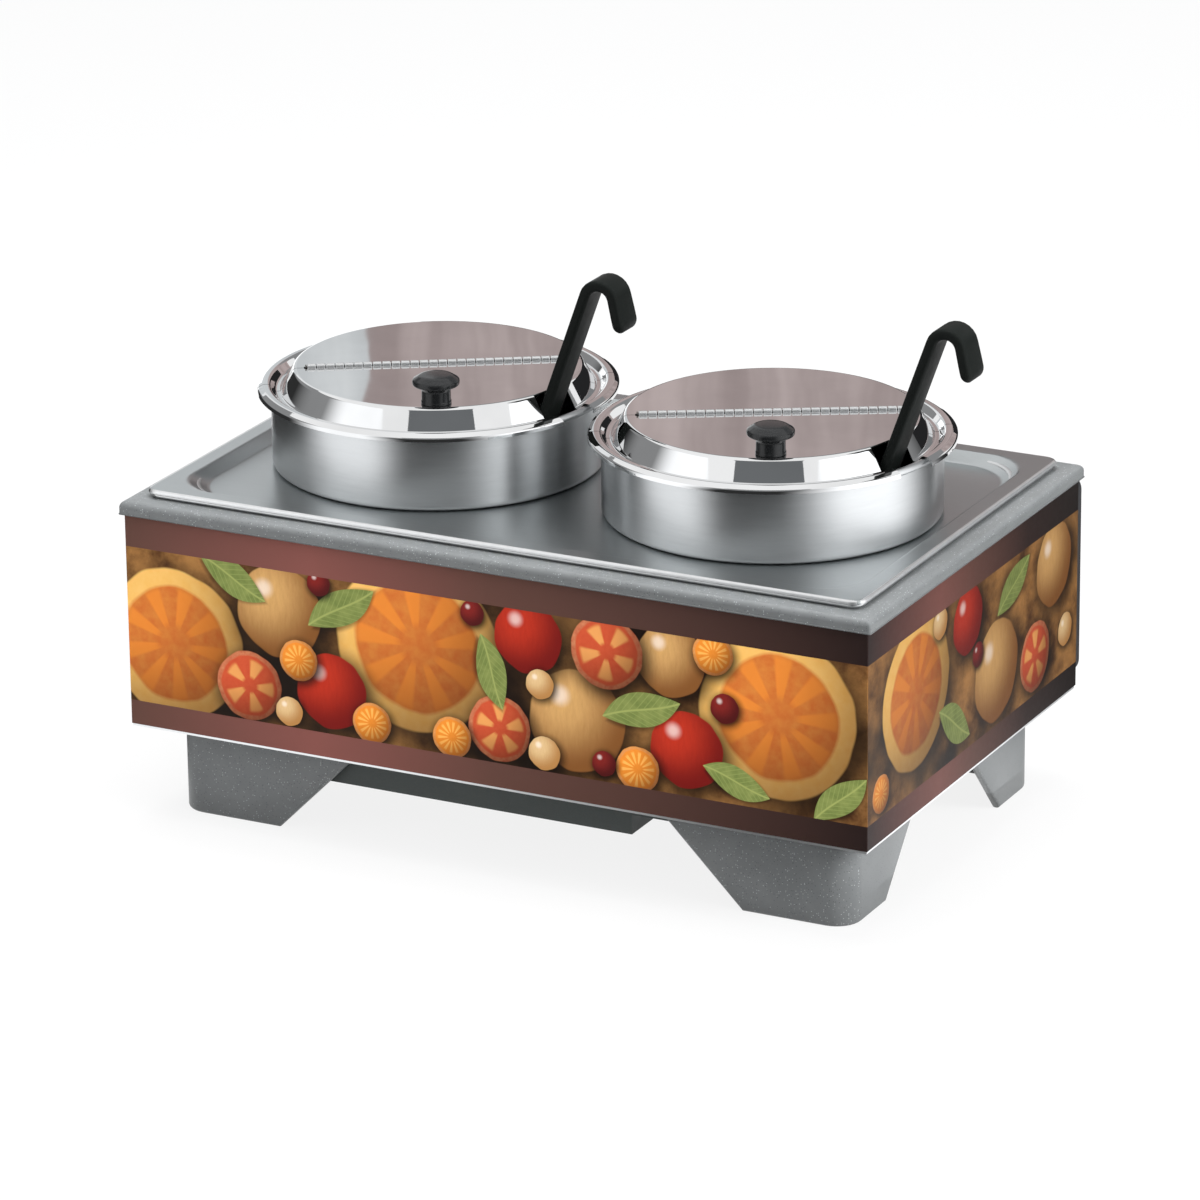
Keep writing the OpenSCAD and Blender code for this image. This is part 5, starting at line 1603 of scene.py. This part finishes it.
# Two soft panels in a dark surround: direction, half width and soft edge in degrees, then strength
SOFT_PANELS = ((-128, 12, 28, 1.2), (0, 12, 44, 1.5))
SURROUND_TONE = (1.0, 1.01, 1.02)
SURROUND_DARK = 0.03
SURROUND_GREY = 0.28
GREY_FROM, GREY_FULL = 0.35, 0.75
SURROUND_SEAM = 100
SURROUND_SECTION = ((0.24, 0.015), (1.7, 0.015), (1.7, 1.5))
SURROUND_ARC = range(-212, 64, 4)


def surround_material():
    """Dark surround with a soft bright panel in each of two directions."""
    material, tree, glow = card_material("surround_panels", SURROUND_TONE)
    parts = split_xyz(tree, turned_about_z(tree, object_place(tree), math.radians(180 - SURROUND_SEAM)))
    angle = math_node(tree, "ARCTAN2", parts["Y"], parts["X"])
    compass = math_node(tree, "MULTIPLY_ADD", angle, math.degrees(1), SURROUND_SEAM - 180)
    strength = SURROUND_DARK
    for direction, half, soft, bright in SOFT_PANELS:
        apart = math_node(tree, "ABSOLUTE", math_node(tree, "SUBTRACT", compass, direction))
        panel = smooth_mask(tree, apart, half, half + soft)
        strength = math_node(tree, "MULTIPLY_ADD", panel, bright, strength)
    low = smooth_mask(tree, parts["Z"], GREY_FROM, GREY_FULL)
    grey = between(tree, low, SURROUND_GREY, 0.0)
    feed_named(tree, glow, Strength=math_node(tree, "MAXIMUM", strength, grey))
    return material


def only_reflected(obj):
    """Keeps a stage piece out of everything but reflections."""
    obj.visible_camera = False
    obj.visible_diffuse = False
    obj.visible_transmission = False
    obj.visible_shadow = False


def make_surround():
    """Floor ring and low wall, open at the rear, that show only in reflections."""
    bm = bmesh.new()
    rows = []
    for radius, height in SURROUND_SECTION:
        row = []
        for degrees in SURROUND_ARC:
            row.append(bm.verts.new((*polar(radius, degrees), height)))
        rows.append(row)
    bridge(bm, rows, False, False)
    only_reflected(stage_piece("surround", bm, surround_material()))


def facing(place_at, target):
    """Matrix of a plane at a place whose face looks at the target."""
    away = (Vector(place_at) - Vector(target)).normalized()
    return Matrix.Translation(place_at) @ away.to_track_quat("Z", "Y").to_matrix().to_4x4()


def reflection_card(name, place_at, target, size, material):
    """A card that shows only in reflections."""
    only_reflected(stage_plane(name, facing(place_at, target), *size, material))


# Cards as (name, place, point they face, width and height, tone)
CARDS = (
    ("card_low", (0.18, 2.01, 0.35), (0.18, 0.0, 0.35), (2.86, 0.70), (0.02, 0.02, 0.021)),
    ("card_high", (0.18, 2.02, 2.0), (0.18, 0.0, 2.0), (2.86, 1.40), (0.27, 0.275, 0.28)),
    ("card_pale_low", (-2.20, 2.01, 0.35), (-2.20, 0.0, 0.35), (1.90, 0.70), (1.3, 1.31, 1.32)),
    ("card_pale_high", (-2.20, 2.02, 2.0), (-2.20, 0.0, 2.0), (1.90, 1.40), (0.90, 0.91, 0.92)),
    ("card_camera", (0.62, -1.25, 1.62), (0.0, 0.0, 0.28), (1.50, 0.50), (0.16, 0.168, 0.175)),
)

stage_plane("floor", Matrix.Identity(4), FLOOR_SIZE, FLOOR_SIZE, floor_material())
for card, card_place, card_target, card_size, card_tone in CARDS:
    reflection_card(card, card_place, card_target, card_size, card_material(card, card_tone)[0])
reflection_card("card_curtain", (-1.20, 2.0, 1.0), (-1.20, 0.0, 1.0), (3.40, 0.60), curtain_material())
make_surround()


def area_lamp(name, place_at, target, size, power):
    """A lamp that lights the part without showing in its reflections."""
    lamp = bpy.data.lights.new(name, "AREA")
    lamp.shape = "RECTANGLE"
    lamp.size, lamp.size_y = size
    lamp.energy = power
    obj = scene_object(name, lamp)
    obj.matrix_world = facing(place_at, target)
    obj.visible_glossy = False


area_lamp("lamp_key", (2.4, -0.4, 1.4), (0, 0, 0.15), (1.0, 1.2), 95)
area_lamp("lamp_left", (-1.2, -1.8, 1.4), (0, 0, 0.15), (0.9, 1.2), 10)
area_lamp("lamp_top", (-0.2, 0.2, 2.4), (0, 0, 0.2), (1.6, 1.6), 90)

SKY_TONE = (0.97, 0.985, 1.0)
SKY_LEVEL, SKY_RISE, SKY_LEAST = 0.22, 0.9, 0.2


def make_world():
    """Soft sky, brighter above, that the camera and reflections see as plain white."""
    world = bpy.data.worlds.new("studio")
    bpy.context.scene.world = world
    world.use_nodes = True
    tree = world.node_tree
    upward_share = split_xyz(tree, tree_node(tree, "ShaderNodeTexCoord").outputs["Generated"])["Z"]
    brightness = math_node(tree, "MULTIPLY_ADD", upward_share, SKY_RISE, SKY_LEVEL)
    sky = tree.nodes["Background"]
    feed_named(tree, sky, Color=SKY_TONE, Strength=math_node(tree, "MAXIMUM", brightness, SKY_LEAST))
    seen_sky = tree_node(tree, "ShaderNodeBackground", Color=WHITE)
    choice = mixed_shader(tree, seen_share(tree), sky, seen_sky)
    feed_named(tree, tree.nodes["World Output"], Surface=choice)


make_world()

# Camera, fitted to the photograph
PICTURE_PX = 1200
SENSOR_MM = 36
FOCAL_PX = 6657.9
AZIMUTH = math.radians(27.11)
ELEVATION = math.radians(19.68)
ROLL = math.radians(-0.616)
SHIFT_RIGHT = -2.973
SHIFT_UP = -67.37
DISTANCE = 4412.57
LOOK_HEIGHT = 211.0

back = Vector((
    math.sin(AZIMUTH) * math.cos(ELEVATION), -math.cos(AZIMUTH) * math.cos(ELEVATION), math.sin(ELEVATION)))
level = Vector((math.cos(AZIMUTH), math.sin(AZIMUTH), 0))
upward = back.cross(level)
right = level * math.cos(ROLL) + upward * math.sin(ROLL)
up = upward * math.cos(ROLL) - level * math.sin(ROLL)
eye = right * SHIFT_RIGHT + up * SHIFT_UP + back * DISTANCE + Vector((0, 0, LOOK_HEIGHT))
lens = bpy.data.cameras.new("camera")
lens.sensor_fit = "HORIZONTAL"
lens.sensor_width = SENSOR_MM
lens.lens = FOCAL_PX / PICTURE_PX * SENSOR_MM
lens.clip_end = 50
camera = scene_object("camera", lens)
rotation = Matrix((right, up, back)).transposed().to_4x4()
camera.matrix_world = Matrix.Translation(eye * MM) @ rotation
bpy.context.scene.camera = camera
bpy.context.scene.view_settings.view_transform = "Standard"
